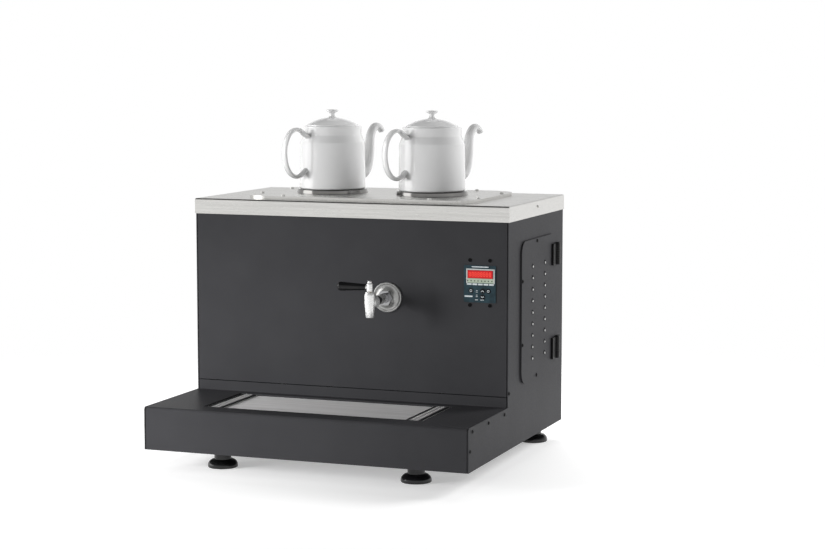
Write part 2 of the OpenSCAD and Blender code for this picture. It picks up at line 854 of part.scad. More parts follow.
module back_panel() {
    color(paint) placed() difference() {
        translate([-edge, body_d - sheet_t, foot_h]) cube([2 * edge, sheet_t, panel_z - foot_h]);
        back_screw_bores();
        along_y(body_d - sheet_t - over, sheet_t + 2 * over) {
            translate([bay_x, valve_z]) circle(inlet_neck_r + slip);
            translate([gland_x, valve_z]) circle(gland_r + slip);
            for (x = [-slot_column, 0], i = [0 : slot_rows - 1])
                translate([x, foot_h + slot_up + i * slot_pitch]) {
                    square([slot_w, slot_h], center = true);
                    for (s = [-1, 1])
                        translate([s * slot_w / 2, 0]) circle(slot_h / 2);
                }
        }
    }
}

module deck_section() {
    difference() {
        front_rounded(-tray_d, sheet_t, foot_h, deck_z, bend_r);
        front_rounded(-tray_d + sheet_t, sheet_t + over, foot_h - over, deck_z - sheet_t, bend_r - sheet_t);
    }
    translate([0, deck_z - sheet_t]) square([sheet_t, upstand_h + sheet_t]);
}

module drip_deck() {
    color(paint) placed() difference() {
        union() {
            along_x(-edge, 2 * edge) deck_section();
            both_sides() along_x(edge - sheet_t, sheet_t) {
                translate([-tray_d + bend_r, deck_z - flange_w])
                    square([tray_d - bend_r, flange_w - sheet_t / 2]);
                translate([-tray_d + sheet_t / 2, floor_z])
                    square([flange_w, deck_z - bend_r - floor_z]);
            }
            translate([-recess_w / 2 - sheet_t, recess_mid - recess_d / 2 - sheet_t, ledge_z - sheet_t])
                cube([recess_w + 2 * sheet_t, recess_d + 2 * sheet_t, deck_z - ledge_z + sheet_t]);
        }
        translate([-recess_w / 2, recess_mid - recess_d / 2, ledge_z])
            cube([recess_w, recess_d, deck_z]);
        translate([-recess_w / 2 + ledge_w, recess_mid - recess_d / 2 + ledge_w, ledge_z - 2 * sheet_t])
            cube([recess_w - 2 * ledge_w, recess_d - 2 * ledge_w, deck_z]);
        both_sides() side_screw_bores();
    }
}

module cover_block(w, d, z0, z1, r) {
    intersection() {
        along_y(mid_y - d / 2, d) top_rounded(w, z0, z1, r);
        along_x(-w / 2, w) translate([mid_y, 0]) top_rounded(d, z0, z1, r);
    }
}

module at_pots() {
    for (x = [-1, 1])
        translate([x * pot_pitch / 2, mid_y, 0]) children();
}

module top_cover() {
    color(steel) placed() difference() {
        cover_block(body_w + 2 * cover_t, body_d + 2 * cover_t, rim_z, cover_z, cover_bend);
        cover_block(body_w, body_d, rim_z - over, cover_z - cover_t, cover_bend - cover_t);
        at_pots() translate([0, 0, rim_z]) cylinder(r = seat_hole_r, h = rim_h + over);
        for (p = plate_screw_places)
            translate([p[0], p[1], rim_z]) cylinder(r = plate_screw_r + run_fit, h = rim_h + over);
        both_sides() rim_screw_bores();
    }
}

// Pot stand

module pot_plate() {
    color(steel) placed() difference() {
        translate([0, mid_y, cover_z]) linear_extrude(plate_rise) rounded_rect(plate_w, plate_d, plate_r);
        translate([0, mid_y, cover_z - over]) linear_extrude(plate_rise - plate_t + over)
            rounded_rect(plate_w - 2 * plate_t, plate_d - 2 * plate_t, plate_r - plate_t);
        at_pots() translate([0, 0, cover_z]) cylinder(r = seat_hole_r, h = plate_rise + over);
        for (p = plate_screw_places)
            translate([p[0], p[1], cover_z]) cylinder(r = plate_screw_r + slip / 2, h = plate_rise + over);
    }
}

module plate_gasket() {
    w = plate_w - 2 * plate_t - slip;
    d = plate_d - 2 * plate_t - slip;
    r = plate_r - plate_t - slip / 2;
    h = plate_rise - plate_t;
    least_r = 2;
    color("#b05a3c") placed() translate([0, 0, cover_z]) difference() {
        translate([0, mid_y, 0]) linear_extrude(h) difference() {
            rounded_rect(w, d, r);
            rounded_rect(w - 2 * gasket_w, d - 2 * gasket_w, max(r - gasket_w, least_r));
        }
        for (p = plate_screw_places)
            translate([p[0], p[1], -over]) cylinder(r = plate_screw_r + slip / 2, h = h + 2 * over);
    }
}

// A spun collar: skirt, flat top and a spigot down into the tank
module seat(x) {
    r = seat_d / 2;
    bore_r = seat_bore_d / 2;
    color(bright) placed() translate([x, mid_y, plate_z]) rotate_extrude()
        polygon(concat([[bore_r, -seat_spigot_l], [bore_r, seat_h]],
            arc([r - seat_taper - seat_bend, seat_h - seat_bend], seat_bend, 90, 0),
            [[r, 0], [r - seat_t, 0], [r - seat_taper - seat_t, seat_h - seat_t],
             [seat_spigot_r, seat_h - seat_t], [seat_spigot_r, -seat_spigot_l]]));
}

module seat_left() {
    seat(-pot_pitch / 2);
}

module seat_right() {
    seat(pot_pitch / 2);
}

module plate_screws() {
    color(bright) placed() for (p = plate_screw_places)
        translate([p[0], p[1], plate_z])
            screw(plate_screw_head_d / 2, plate_screw_head_h, plate_screw_r, plate_rise + cover_t);
}

module casing_screws() {
    color(black) placed() {
        both_sides() {
            on_side(half, side_screw_places) casing_screw(2 * sheet_t + seam + screw_end);
            on_side(half + cover_t, [rim_screw_place])
                screw(rim_screw_head_d / 2, screw_head_h, screw_r, cover_t + sheet_t + screw_end);
        }
        for (x = [-1, 1], z = back_screw_heights)
            translate([x * back_screw_x, body_d, z]) rotate([-90, 0, 0])
                casing_screw(2 * sheet_t + screw_end);
    }
}

// Feet

module foot_nuts() {
    color(inner_metal) placed() for (p = foot_places)
        translate([p[0], p[1], floor_z]) hex_nut(foot_nut_w, foot_nut_h, stud_r + run_fit);
}

module foot(i) {
    pad_r = pad_d / 2;
    neck_r = neck_d / 2;
    bell = [for (a = [0 : 10 : 90])
        [neck_r + (pad_r - neck_r) * cos(a), pad_edge_h + bell_h * sin(a)]];
    top = floor_z + foot_nut_h + stud_end;
    color(black) placed() translate([foot_places[i][0], foot_places[i][1], 0]) rotate_extrude()
        polygon(concat([[0, 0], [pad_r - pad_chamfer, 0], [pad_r, pad_chamfer]], bell,
            [[neck_r, foot_h], [stud_r, foot_h], [stud_r, top], [0, top]]));
}

module foot_front_left() {
    foot(0);
}

module foot_front_right() {
    foot(1);
}

module foot_rear_left() {
    foot(2);
}

module foot_rear_right() {
    foot(3);
}

// Boiler

// Children on the tank's right wall, with +Z turned outwards to +X
module on_tank_wall(y, z) {
    translate([tank_x1, y, z]) rotate([0, 90, 0]) children();
}

module heater_screw_places() {
    for (a = [45 : 90 : 315])
        rotate(a) translate([heater_flange_d / 2 - screw_head_d, 0, 0]) children();
}

// The tank's floor and walls, open at the top
module boiler_tank() {
    h = tank_top - tank_t - tank_z;
    color(inner_metal) placed() difference() {
        translate([tank_x, mid_y, tank_z]) linear_extrude(h) rounded_rect(tank_w, tank_d, tank_r);
        translate([tank_x, mid_y, tank_z + tank_t]) linear_extrude(h)
            rounded_rect(tank_w - 2 * tank_t, tank_d - 2 * tank_t, tank_r - tank_t);
        translate([tap_x, tank_y0 - over, tap_z]) rotate([-90, 0, 0])
            cylinder(r = shank_r + slip, h = tank_t + 2 * over);
        on_tank_wall(mid_y, heater_z) translate([0, 0, -tank_t - over]) {
            for (s = [-1, 1])
                translate([0, s * heater_gap / 2, 0])
                    cylinder(r = heater_d / 2 + slip, h = tank_t + 2 * over);
            heater_screw_places() cylinder(r = screw_r + run_fit, h = tank_t + 2 * over);
        }
        on_tank_wall(probe_mid, probe_z) translate([0, 0, -tank_t - over])
            cylinder(r = probe_d / 2 + run_fit, h = tank_t + 2 * over);
        on_tank_wall(pipe_y, pipe_z) translate([0, 0, -tank_t - over])
            cylinder(r = pipe_r + run_fit, h = tank_t + 2 * over);
    }
}

// The plate that closes the tank, with a hole for each seat's spigot
module tank_lid() {
    color(inner_metal) placed() difference() {
        translate([tank_x, mid_y, tank_top - tank_t]) linear_extrude(tank_t)
            rounded_rect(tank_w, tank_d, tank_r);
        at_pots() translate([0, 0, tank_top - 2 * tank_t]) cylinder(r = seat_hole_r, h = 3 * tank_t);
    }
}

module insulation_jacket() {
    h = tank_top - tank_z - 2 * tank_t;
    color("#c9b98a") placed() difference() {
        translate([tank_x, mid_y, tank_z]) linear_extrude(h) difference() {
            rounded_rect(tank_w + 2 * jacket_t, tank_d + 2 * jacket_t, tank_r + jacket_t);
            rounded_rect(tank_w + 2 * jacket_gap, tank_d + 2 * jacket_gap, tank_r + jacket_gap);
        }
        translate([tap_x, 0, tap_z]) rotate([-90, 0, 0]) cylinder(r = shank_r + slip, h = tank_y0 + over);
        on_tank_wall(mid_y, heater_z) cylinder(r = heater_flange_d / 2 + jacket_room, h = jacket_t + over);
        on_tank_wall(probe_mid, probe_z) hexagon(probe_nut_w + 2 * jacket_room, jacket_t + over);
        on_tank_wall(probe_mid, cutout_z) cylinder(r = cutout_d / 2 + jacket_room, h = jacket_t + over);
        on_tank_wall(pipe_y, pipe_z) cylinder(r = pipe_r + slip, h = jacket_t + over);
    }
}

// Two sheet trestles between the base pan and the tank's floor
module tank_stand() {
    h = tank_z - floor_z;
    color(inner_metal) placed() for (s = [-1, 1])
        translate([tank_x + s * tank_w / 4, 0, 0]) {
            along_x(0, leg_t) difference() {
                translate([tank_y0, floor_z]) square([tank_d, h]);
                translate([tank_y0 + leg_w, floor_z - over]) square([tank_d - 2 * leg_w, h - leg_w + over]);
            }
            translate([0, tank_y0, tank_z - leg_t]) cube([leg_foot_w, tank_d, leg_t]);
            for (y = [tank_y0, tank_y0 + tank_d - leg_w])
                translate([0, y, floor_z]) cube([leg_foot_w, leg_w, leg_t]);
        }
}

module heating_element() {
    leg_r = heater_d / 2;
    reach = heater_flange_t + heater_pin_l;
    color("#8c8478") placed() translate([tank_x1, mid_y, heater_z]) {
        difference() {
            rotate([0, 90, 0]) cylinder(d = heater_flange_d, h = heater_flange_t);
            rotate([0, 90, 0]) heater_screw_places() translate([0, 0, -over])
                cylinder(r = screw_r + run_fit, h = heater_flange_t + 2 * over);
        }
        for (s = [-1, 1])
            translate([-heater_l, s * heater_gap / 2, 0]) rotate([0, 90, 0])
                cylinder(r = leg_r, h = heater_l + reach);
        translate([-heater_l, 0, 0]) rotate(90) rotate_extrude(angle = 180)
            translate([heater_gap / 2, 0]) circle(leg_r);
    }
}

module element_screws() {
    color(bright) placed() on_tank_wall(mid_y, heater_z) heater_screw_places()
        translate([0, 0, heater_flange_t])
            casing_screw(heater_flange_t + tank_t + screw_end);
}

module temperature_probe() {
    nut_h = probe_nut_w / 2;
    color(bright) placed() on_tank_wall(probe_mid, probe_z) {
        hexagon(probe_nut_w, nut_h);
        translate([0, 0, nut_h]) cylinder(d = nut_h, h = probe_d);
        translate([0, 0, -probe_l]) cylinder(d = probe_d, h = probe_l);
    }
}

module safety_cutout() {
    blade = [0.8, 6, 8];
    color("#2a2a2c") placed() on_tank_wall(probe_mid, cutout_z) {
        cylinder(d = cutout_d, h = cutout_t);
        for (s = [-1, 1])
            translate([s * cutout_d / 5, 0, cutout_t + blade[2] / 2]) cube(blade, center = true);
    }
}

module power_relay() {
    step = [4, 8, 6];
    color("#20242a") placed() translate([bay_x - relay_w / 2, relay_y, floor_z]) {
        cube([relay_w, relay_d, relay_h]);
        translate([step[0], step[1], relay_h])
            cube([relay_w - 2 * step[0], relay_d - 2 * step[1], step[2]]);
    }
}

module terminal_block() {
    side = 3;
    pitch = block_d / terminal_count;
    gap = pitch / 10;
    color("#e4e0d4") placed() translate([bay_x - block_w / 2, block_y, floor_z]) {
        cube([block_w, block_d, block_h]);
        for (i = [0 : terminal_count - 1])
            translate([side, i * pitch + gap, block_h])
                cube([block_w - 2 * side, pitch - 2 * gap, terminal_h]);
    }
}

// Solenoid valve behind the back panel, with its threaded stub outside
module water_inlet() {
    hex_t = rear_reach - inlet_l;
    back = body_d - pipe_y;
    bore_in = 10;
    bore_l = rear_reach + bore_in;
    color("#b08d57") placed() translate([bay_x, pipe_y, valve_z]) difference() {
        union() {
            cube(valve_size, center = true);
            translate([-valve_size / 2, 0, 0]) rotate([0, -90, 0]) cylinder(d = coil_d, h = coil_l);
            rotate([-90, 0, 0]) cylinder(r = inlet_neck_r, h = back);
            translate([0, back, 0]) rotate([-90, 0, 0]) hexagon(inlet_hex_w, hex_t);
            translate([0, back + hex_t, 0]) rotate([-90, 0, 0]) cylinder(r = inlet_r, h = inlet_l);
        }
        translate([0, back + rear_reach - bore_l, 0]) rotate([-90, 0, 0])
            cylinder(r = inlet_r - inlet_wall, h = bore_l + over);
    }
}

module pipe_run(r, extra) {
    start = valve_z + valve_size / 2;
    translate([bay_x, pipe_y, start - extra]) cylinder(r = r, h = pipe_z - pipe_bend - start + extra);
    translate([bay_x - pipe_bend, pipe_y, pipe_z - pipe_bend]) rotate([90, 0, 0]) rotate_extrude(angle = 90)
        translate([pipe_bend, 0]) circle(r);
    translate([tank_x1 - pipe_in - extra, pipe_y, pipe_z]) rotate([0, 90, 0])
        cylinder(r = r, h = bay_x - pipe_bend - tank_x1 + pipe_in + extra);
}

module fill_pipe() {
    color("#c07a50") placed() difference() {
        pipe_run(pipe_r, 0);
        pipe_run(pipe_r - pipe_wall, over);
    }
}

module cord_gland() {
    nut_h = gland_l - screw_end;
    hex_h = 6;
    cap_h = 12;
    cap_step = 1;
    inside = sheet_t + gland_l;
    color(black) placed() translate([gland_x, body_d, valve_z]) rotate([-90, 0, 0]) difference() {
        union() {
            translate([0, 0, -inside]) cylinder(r = gland_r, h = inside);
            translate([0, 0, -sheet_t - nut_h]) cylinder(r = gland_r + gland_lap, h = nut_h);
            hexagon(2 * (gland_r + gland_lap), hex_h);
            translate([0, 0, hex_h]) cylinder(r1 = gland_r + gland_lap - cap_step, r2 = gland_r, h = cap_h);
        }
        translate([0, 0, -inside - over]) cylinder(d = cord_d, h = inside + hex_h + cap_h + 2 * over);
    }
}

// Tap

module tap_shank() {
    y0 = -tap_reach + tap_boss_l - tap_socket_l;
    y1 = tank_y0 + tank_t + tap_nut_h + screw_end;
    color(bright) placed() translate([tap_x, y0, tap_z]) rotate([-90, 0, 0]) difference() {
        cylinder(r = shank_r, h = y1 - y0);
        translate([0, 0, -over]) cylinder(d = shank_bore_d, h = y1 - y0 + 2 * over);
    }
}

// A dished wall flange with a raised edge
module tap_flange() {
    r = tap_flange_d / 2;
    t = tap_flange_t;
    bore_r = shank_r + run_fit;
    bead_r = 1.5;
    bead_end = 150;
    bead_h = 0.35 * t;
    dish = [r - 3 * bead_r, 0.3 * t];
    boss_foot = [0.56 * r, 0.62 * t];
    boss_r = 0.52 * r;
    color(bright) placed() translate([tap_x, 0, tap_z]) rotate([90, 0, 0]) rotate_extrude()
        polygon(concat([[bore_r, 0], [r, 0]], arc([r - bead_r, bead_h], bead_r, 0, bead_end),
            [dish, boss_foot, [boss_r, t], [bore_r, t]]));
}

module tap_nuts() {
    color(bright) placed() for (y = [-tap_flange_t, tank_y0 + tank_t + tap_nut_h])
        translate([tap_x, y, tap_z]) rotate([90, 0, 0]) hex_nut(tap_nut_w, tap_nut_h, shank_r + run_fit);
}

module tap_body() {
    r = tap_body_d / 2;
    collar = [1.6, 5];
    color(bright) placed() translate([tap_x, -tap_reach, 0]) difference() {
        union() {
            rotate_extrude() polygon([[0, outlet_z], [outlet_d / 2, outlet_z], [r, tap_z],
                [r, tap_top_z - collar[1]], [r - collar[0], tap_top_z], [0, tap_top_z]]);
            translate([0, 0, tap_z]) rotate([-90, 0, 0])
                cylinder(r = shank_r + tap_boss_wall, h = tap_boss_l);
        }
        translate([0, 0, plug_z]) cylinder(r = plug_r + run_fit, h = tap_top_z - plug_z + over);
        translate([0, 0, outlet_z - over]) cylinder(d = outlet_bore_d, h = plug_z - outlet_z + 2 * over);
        translate([0, tap_boss_l - tap_socket_l, tap_z]) rotate([-90, 0, 0])
            cylinder(r = shank_r + run_fit, h = tap_socket_l + over);
        translate([0, 0, tap_z]) rotate([-90, 0, 0]) cylinder(r = port_r, h = tap_boss_l);
    }
}

// Turning plug: hollow from below, with one port that faces the shank when open
module tap_plug() {
    lift = 0.3;
    color("#c8b070") placed() translate([tap_x, -tap_reach, 0]) difference() {
        union() {
            translate([0, 0, plug_z + lift]) cylinder(r = plug_r, h = tap_top_z - plug_z - lift);
            translate([0, 0, tap_top_z]) cylinder(r = plug_stem_r, h = plug_stem_l);
        }
        translate([0, 0, plug_z]) cylinder(r = port_r, h = tap_z + port_r - plug_z);
        translate([0, 0, tap_z]) rotate([0, 90, 0]) cylinder(r = port_r, h = plug_r + over);
    }
}

// Hub with a domed cap and a short boss for the lever
module lever_hub() {
    r = hub_d / 2;
    cap_r = r - 1.4;
    cap_h = 3.4;
    dome = 2;
    stem_gap = 0.2;
    color(bright) placed() translate([tap_x, -tap_reach, hub_z]) difference() {
        union() {
            rotate_extrude() polygon(concat([[0, 0], [r, 0], [r, hub_h - dome], [cap_r, hub_h]],
                arc([cap_r - dome, hub_h + cap_h - dome], dome, 0, 90), [[0, hub_h + cap_h]]));
            translate([0, 0, hub_h / 2]) rotate([0, -90, 0]) cylinder(d = lever_boss_d, h = lever_start);
        }
        translate([0, 0, -over])
            cylinder(r = plug_stem_r + run_fit, h = plug_stem_l - hub_gap + stem_gap + over);
    }
}

module lever_grip() {
    tip_r = lever_d / 2;
    root_r = lever_root_d / 2;
    chamfer = 1;
    color(black) placed() translate([tap_x, -tap_reach, lever_z]) rotate([0, -90, 0]) rotate_extrude()
        polygon(concat([[0, lever_start], [root_r - chamfer, lever_start], [root_r, lever_start + chamfer]],
            arc([tip_r - lever_dome, lever_l - lever_dome], lever_dome, 0, 90), [[0, lever_l]]));
}

// Controller

module control_fascia() {
    color("#2e4048") placed() difference() {
        along_y(-fascia_t, fascia_t) translate([control_x, control_z])
            rounded_rect(fascia_w, fascia_h, fascia_lap / 2);
        along_y(-fascia_t - over, fascia_t + 2 * over) translate([control_x, control_z + display_up])
            square([display_w + 2 * lens_fit, display_h + 2 * lens_fit], center = true);
        on_controller(over, lamp_places) cylinder(r = lamp_d / 2 + lens_fit, h = fascia_t + 2 * over);
        on_controller(over, button_places) cylinder(r = button_d / 2 + slip / 2, h = fascia_t + 2 * over);
    }
}

module display_window() {
    set_back = 0.3;
    color("#c02020") placed() along_y(-fascia_t + set_back, fascia_t - set_back + board_y)
        translate([control_x, control_z + display_up]) square([display_w, display_h], center = true);
}

module indicator_lamps() {
    color("#e04030") placed() on_controller(board_y, lamp_places)
        cylinder(d = lamp_d, h = board_y + fascia_t);
}

module control_board() {
    w = control_screw_w + 2 * board_edge;
    h = control_screw_up + control_screw_down + 2 * board_edge;
    mid = (control_screw_up - control_screw_down) / 2;
    switch_gap = 0.3;
    switch_h = board_y - button_root - button_stem_l - button_travel - switch_gap;
    color("#2f6b3c") placed() {
        difference() {
            along_y(board_y, board_t) translate([control_x, control_z + mid]) square([w, h], center = true);
            on_controller(board_y + board_t + over, control_screw_places)
                cylinder(r = small_screw_r + slip / 2, h = board_t + 2 * over);
        }
        on_controller(board_y, button_places)
            translate([-switch_w / 2, -switch_w / 2, 0]) cube([switch_w, switch_w, switch_h]);
        translate([control_x - power_w / 2, board_y + board_t, control_z - power_h / 2])
            cube([power_w, power_d, power_h]);
    }
}

module board_spacers() {
    color(bright) placed() on_controller(board_y, control_screw_places) difference() {
        cylinder(d = spacer_d, h = board_gap);
        translate([0, 0, -over]) cylinder(r = small_screw_r + run_fit, h = board_gap + 2 * over);
    }
}

module control_screws() {
    color(black) placed() on_controller(0, control_screw_places)
        small_screw(board_y + board_t + screw_end);
}

module button(i) {
    color("#1c2836") placed() on_controller(0, [button_places[i]]) {
        translate([0, 0, -button_root]) cylinder(d = button_d, h = button_root + fascia_t + button_rise);
        translate([0, 0, -button_root - button_stem_l]) cylinder(d = button_stem_d, h = button_stem_l);
    }
}

module button_menu() {
    button(0);
}

module button_up() {
    button(1);
}

module button_enter() {
    button(2);
}

module button_down() {
    button(3);
}

// Service door

// A tray that lies on the side panel, with its edges turned in and a raised lip round each vent
module side_door() {
    color(paint) placed() difference() {
        union() {
            along_x(half + door_seat, door_rise - door_seat) translate(door_mid)
                rounded_rect(door_w, door_h, door_r);
            on_side(door_x - sheet_t / 2, vent_places)
                cylinder(d = vent_d + 2 * vent_lip_w, h = sheet_t / 2 + vent_lip_h);
        }
        along_x(half, door_rise - sheet_t) translate(door_mid)
            rounded_rect(door_w - 2 * sheet_t, door_h - 2 * sheet_t, door_r - sheet_t);
        on_side(half, vent_places) cylinder(d = vent_d, h = door_rise + vent_lip_h + over);
        on_side(half, door_screw_places) cylinder(r = small_screw_r + run_fit, h = door_rise + over);
    }
}

// One hinge leaf on the side s of the pin, on a foot, with its knuckles between the heights in spans
module hinge_leaf(s, spans, foot_t) {
    plate_y = knuckle_r + 2 * hinge_gap;
    mirror([0, s < 0 ? 1 : 0, 0]) translate([-knuckle_r - hinge_lift, 0, 0]) {
        translate([-foot_t, plate_y, 0]) cube([hinge_t + foot_t, hinge_w - plate_y, hinge_h]);
        for (z = spans)
            difference() {
                union() {
                    translate([0, 0, z[0]]) cube([hinge_t, plate_y, z[1] - z[0]]);
                    translate([knuckle_r + hinge_lift, 0, z[0]]) cylinder(r = knuckle_r, h = z[1] - z[0]);
                }
                translate([knuckle_r + hinge_lift, 0, z[0] - over])
                    cylinder(d = hinge_pin_d + 2 * run_fit, h = z[1] - z[0] + 2 * over);
            }
    }
}

module at_hinges() {
    for (s = [-1, 1])
        translate([hinge_x, hinge_y, hinge_mid_z + s * hinge_pitch / 2 - hinge_h / 2]) children();
}

module door_hinge_leaves() {
    color(black) placed() at_hinges()
        hinge_leaf(-1, [[hinge_h / 3 + hinge_gap, hinge_h * 2 / 3 - hinge_gap]], 0);
}

module body_hinge_leaves() {
    color(black) placed() at_hinges()
        hinge_leaf(1, [[0, hinge_h / 3], [hinge_h * 2 / 3, hinge_h]], door_rise);
}

module hinge_pins() {
    head = [1, 1.5];
    color(inner_metal) placed() at_hinges() {
        cylinder(d = hinge_pin_d, h = hinge_h);
        translate([0, 0, hinge_h]) cylinder(d = hinge_pin_d + 2 * head[0], h = head[1]);
    }
}

module door_screws() {
    color(black) placed() on_side(door_x, door_screw_places) small_screw(door_rise + sheet_t + screw_end);
}

// Drip tray

module drip_pan() {
    rim_w = recess_w - 2 * slip;
    rim_d = recess_d - 2 * slip;
    color(steel) placed() translate([0, recess_mid, ledge_z]) difference() {
        union() {
            translate([-rim_w / 2, -rim_d / 2, 0]) cube([rim_w, rim_d, pan_t]);
            translate([-pan_w / 2, -pan_d / 2, -pan_h]) cube([pan_w, pan_d, pan_h]);
        }
        translate([-pan_w / 2 + pan_t, -pan_d / 2 + pan_t, -pan_h + pan_t])
            cube([pan_w - 2 * pan_t, pan_d - 2 * pan_t, pan_h + over]);
    }
}

// Rods across the pan, welded to two bars under them
module drip_grate() {
    bar_l = pan_d - 2 * bar_gap;
    color(bright) placed() translate([0, recess_mid, rod_z]) {
        for (i = [0 : rod_count - 1])
            translate([-rod_l / 2, (i - (rod_count - 1) / 2) * rod_pitch, 0]) rotate([0, 90, 0])
                cylinder(d = rod_d, h = rod_l);
        for (s = [-1, 1])
            translate([s * bar_x, -bar_l / 2, weld - rod_d]) rotate([-90, 0, 0])
                cylinder(d = rod_d, h = bar_l);
    }
}

module grate_strips() {
    l = (rod_count - 1) * rod_pitch + rod_d;
    color(black) placed() for (s = [-1, 1], k = [0, 1])
        translate([s * (rod_l / 2 - strip_inset - k * strip_pitch), recess_mid, strip_z + strip_t / 2])
            cube([strip_w, l, strip_t], center = true);
}

// Teapots

pot_r = pot_d / 2;
pot_top_r = pot_top_d / 2;
pot_neck_r = pot_neck_d / 2;
gallery_r = lid_d / 2 + slip;
mouth_r = gallery_r - gallery_w;

// A tube with an elliptical section along a path of [radius, height] points
module swept(path, half_t, half_w, sides) {
    n = len(path);
    dirs = [for (i = [0 : n - 1]) let (d = path[min(i + 1, n - 1)] - path[max(i - 1, 0)]) d / norm(d)];
    points = [for (i = [0 : n - 1], k = [0 : sides - 1])
        let (a = 360 * k / sides, u = half_t[i] * cos(a))
        [path[i][0] - u * dirs[i][1], half_w[i] * sin(a), path[i][1] + u * dirs[i][0]]];
    walls = [for (i = [0 : n - 2], k = [0 : sides - 1])
        let (a = i * sides + k, b = i * sides + (k + 1) % sides)
        each [[a, b, b + sides], [a, b + sides, a + sides]]];
    last = (n - 1) * sides;
    ends = [for (k = [1 : sides - 2]) each [[0, k + 1, k], [last, last + k, last + k + 1]]];
    polyhedron(points, concat(walls, ends));
}

// Handle: most of an ellipse, with both ends run into the wall
handle_mid = [pot_r + handle_out, pot_rim_h / 2 + handle_up];
handle_end = 135;
handle_steps = 11;
handle_root = [handle_out + pot_wall, handle_b * sin(handle_end) - strap_t];
handle_path = concat([handle_mid + [-handle_root[0], handle_root[1]]],
    [for (i = [-handle_steps : handle_steps]) let (a = -handle_end * i / handle_steps)
        handle_mid + [handle_a * cos(a), handle_b * sin(a)]],
    [handle_mid - handle_root]);

// Spout: up along the body, then out to a lip that turns down, with hand-set points of its middle
// line as [distance from the axis, height] and its outer radius at each point
spout_guide = [[pot_r - 40, 9], [pot_r - 18, 17.5], [pot_r + 10, 29], [pot_r + 20, 55],
    [pot_r + 24, pot_rim_h - 20], [pot_r + 32, pot_rim_h - 5], [pot_r + 42, pot_rim_h - 4.5],
    [pot_r + 48.5, pot_rim_h - 12], [pot_r + 51, pot_rim_h - 24]];
spout_guide_r = [16, 14, 11.5, 9.5, 8, 7.2, 6.4, 5.6, 5.4];
spout_steps = 3;
spout_path = smooth(spout_guide, spout_steps);
spout_r = smooth(spout_guide_r, spout_steps);

module pot(x) {
    inner_r = pot_r - pot_wall;
    color(porcelain) placed() translate([x, mid_y, seat_z]) difference() {
        union() {
            rotate_extrude() polygon(concat([[0, 0]],
                arc([pot_r - pot_foot_r, pot_foot_r], pot_foot_r, -90, 0),
                [[pot_top_r, pot_body_h], [pot_neck_r, pot_body_h + pot_shoulder_h]],
                arc([pot_neck_r - pot_lip_r, pot_rim_h - pot_lip_r], pot_lip_r, 0, 90), [[0, pot_rim_h]]));
            rotate(pot_turn) swept(handle_path, [for (p = handle_path) strap_t / 2],
                [for (p = handle_path) strap_w / 2], 12);
            rotate(pot_turn + 180) swept(spout_path, spout_r, spout_r, 14);
        }
        rotate_extrude() polygon(concat([[0, pot_floor]],
            arc([inner_r - pot_foot_r, pot_floor + pot_foot_r], pot_foot_r, -90, 0),
            [[pot_top_r - pot_wall, pot_body_h], [mouth_r, pot_body_h + pot_shoulder_h],
             [mouth_r, pot_rim_h - gallery_h], [gallery_r, pot_rim_h - gallery_h],
             [gallery_r, pot_rim_h + over], [0, pot_rim_h + over]]));
        rotate(pot_turn + 180) swept(spout_path, [for (r = spout_r) r - spout_wall],
            [for (r = spout_r) r - spout_wall], 10);
    }
}

module pot_left() {
    pot(-pot_pitch / 2);
}

module pot_right() {
    pot(pot_pitch / 2);
}

// Lid: a plate in the pot's gallery, a dome, a spool knob and a skirt
module pot_lid(x) {
    r = lid_d / 2;
    z = seat_z + pot_rim_h;
    stem_r = knob_stem_d / 2;
    stem_round = 3;
    knob_edge = 1.6;
    top = lid_rise + knob_h;
    dome_h = lid_rise - lid_edge_h;
    dome_r = (r * r + dome_h * dome_h) / (2 * dome_h);
    dome_a = asin(r / dome_r);
    stem_a = asin((stem_r + stem_round) / dome_r);
    skirt_r = mouth_r - slip;
    color(porcelain) placed() translate([x, mid_y, z]) rotate_extrude()
        polygon(concat([[0, -gallery_h], [skirt_r - skirt_t, -gallery_h],
            [skirt_r - skirt_t, -gallery_h - skirt_h], [skirt_r, -gallery_h - skirt_h],
            [skirt_r, -gallery_h], [r, -gallery_h]],
            arc([0, lid_rise - dome_r], dome_r, 90 - dome_a, 90 - stem_a, 10),
            [[stem_r, lid_rise + knob_h / 4], [stem_r, lid_rise + knob_h / 2],
             [knob_d / 2 - knob_edge, top - 3 * knob_edge]],
            arc([knob_d / 2 - knob_edge, top - 1.5 * knob_edge], knob_edge, 0, 90), [[0, top]]));
}

module pot_lid_left() {
    pot_lid(-pot_pitch / 2);
}

module pot_lid_right() {
    pot_lid(pot_pitch / 2);
}

base_pan();
left_side_panel();
right_side_panel();
front_panel();
back_panel();
drip_deck();
top_cover();
pot_plate();
plate_gasket();
seat_left();
seat_right();
plate_screws();
casing_screws();
foot_nuts();
boiler_tank();
tank_lid();
insulation_jacket();
tank_stand();
heating_element();
element_screws();
temperature_probe();
safety_cutout();
power_relay();
terminal_block();
water_inlet();
fill_pipe();
cord_gland();
tap_shank();
tap_flange();
tap_nuts();
tap_body();
tap_plug();
lever_hub();
lever_grip();
control_fascia();
display_window();
indicator_lamps();
control_board();
board_spacers();
control_screws();
button_menu();
button_up();
button_enter();
button_down();
side_door();
door_hinge_leaves();
body_hinge_leaves();
hinge_pins();
door_screws();
foot_front_left();
foot_front_right();
foot_rear_left();
foot_rear_right();
drip_pan();
drip_grate();
grate_strips();
pot_left();
pot_right();
pot_lid_left();
pot_lid_right();
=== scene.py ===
"""Counter-top tea urn: painted casing, stainless cover, two porcelain teapots on steam seats, a lever
tap over a drip tray, a digital controller and a hinged service door."""
import json
import math

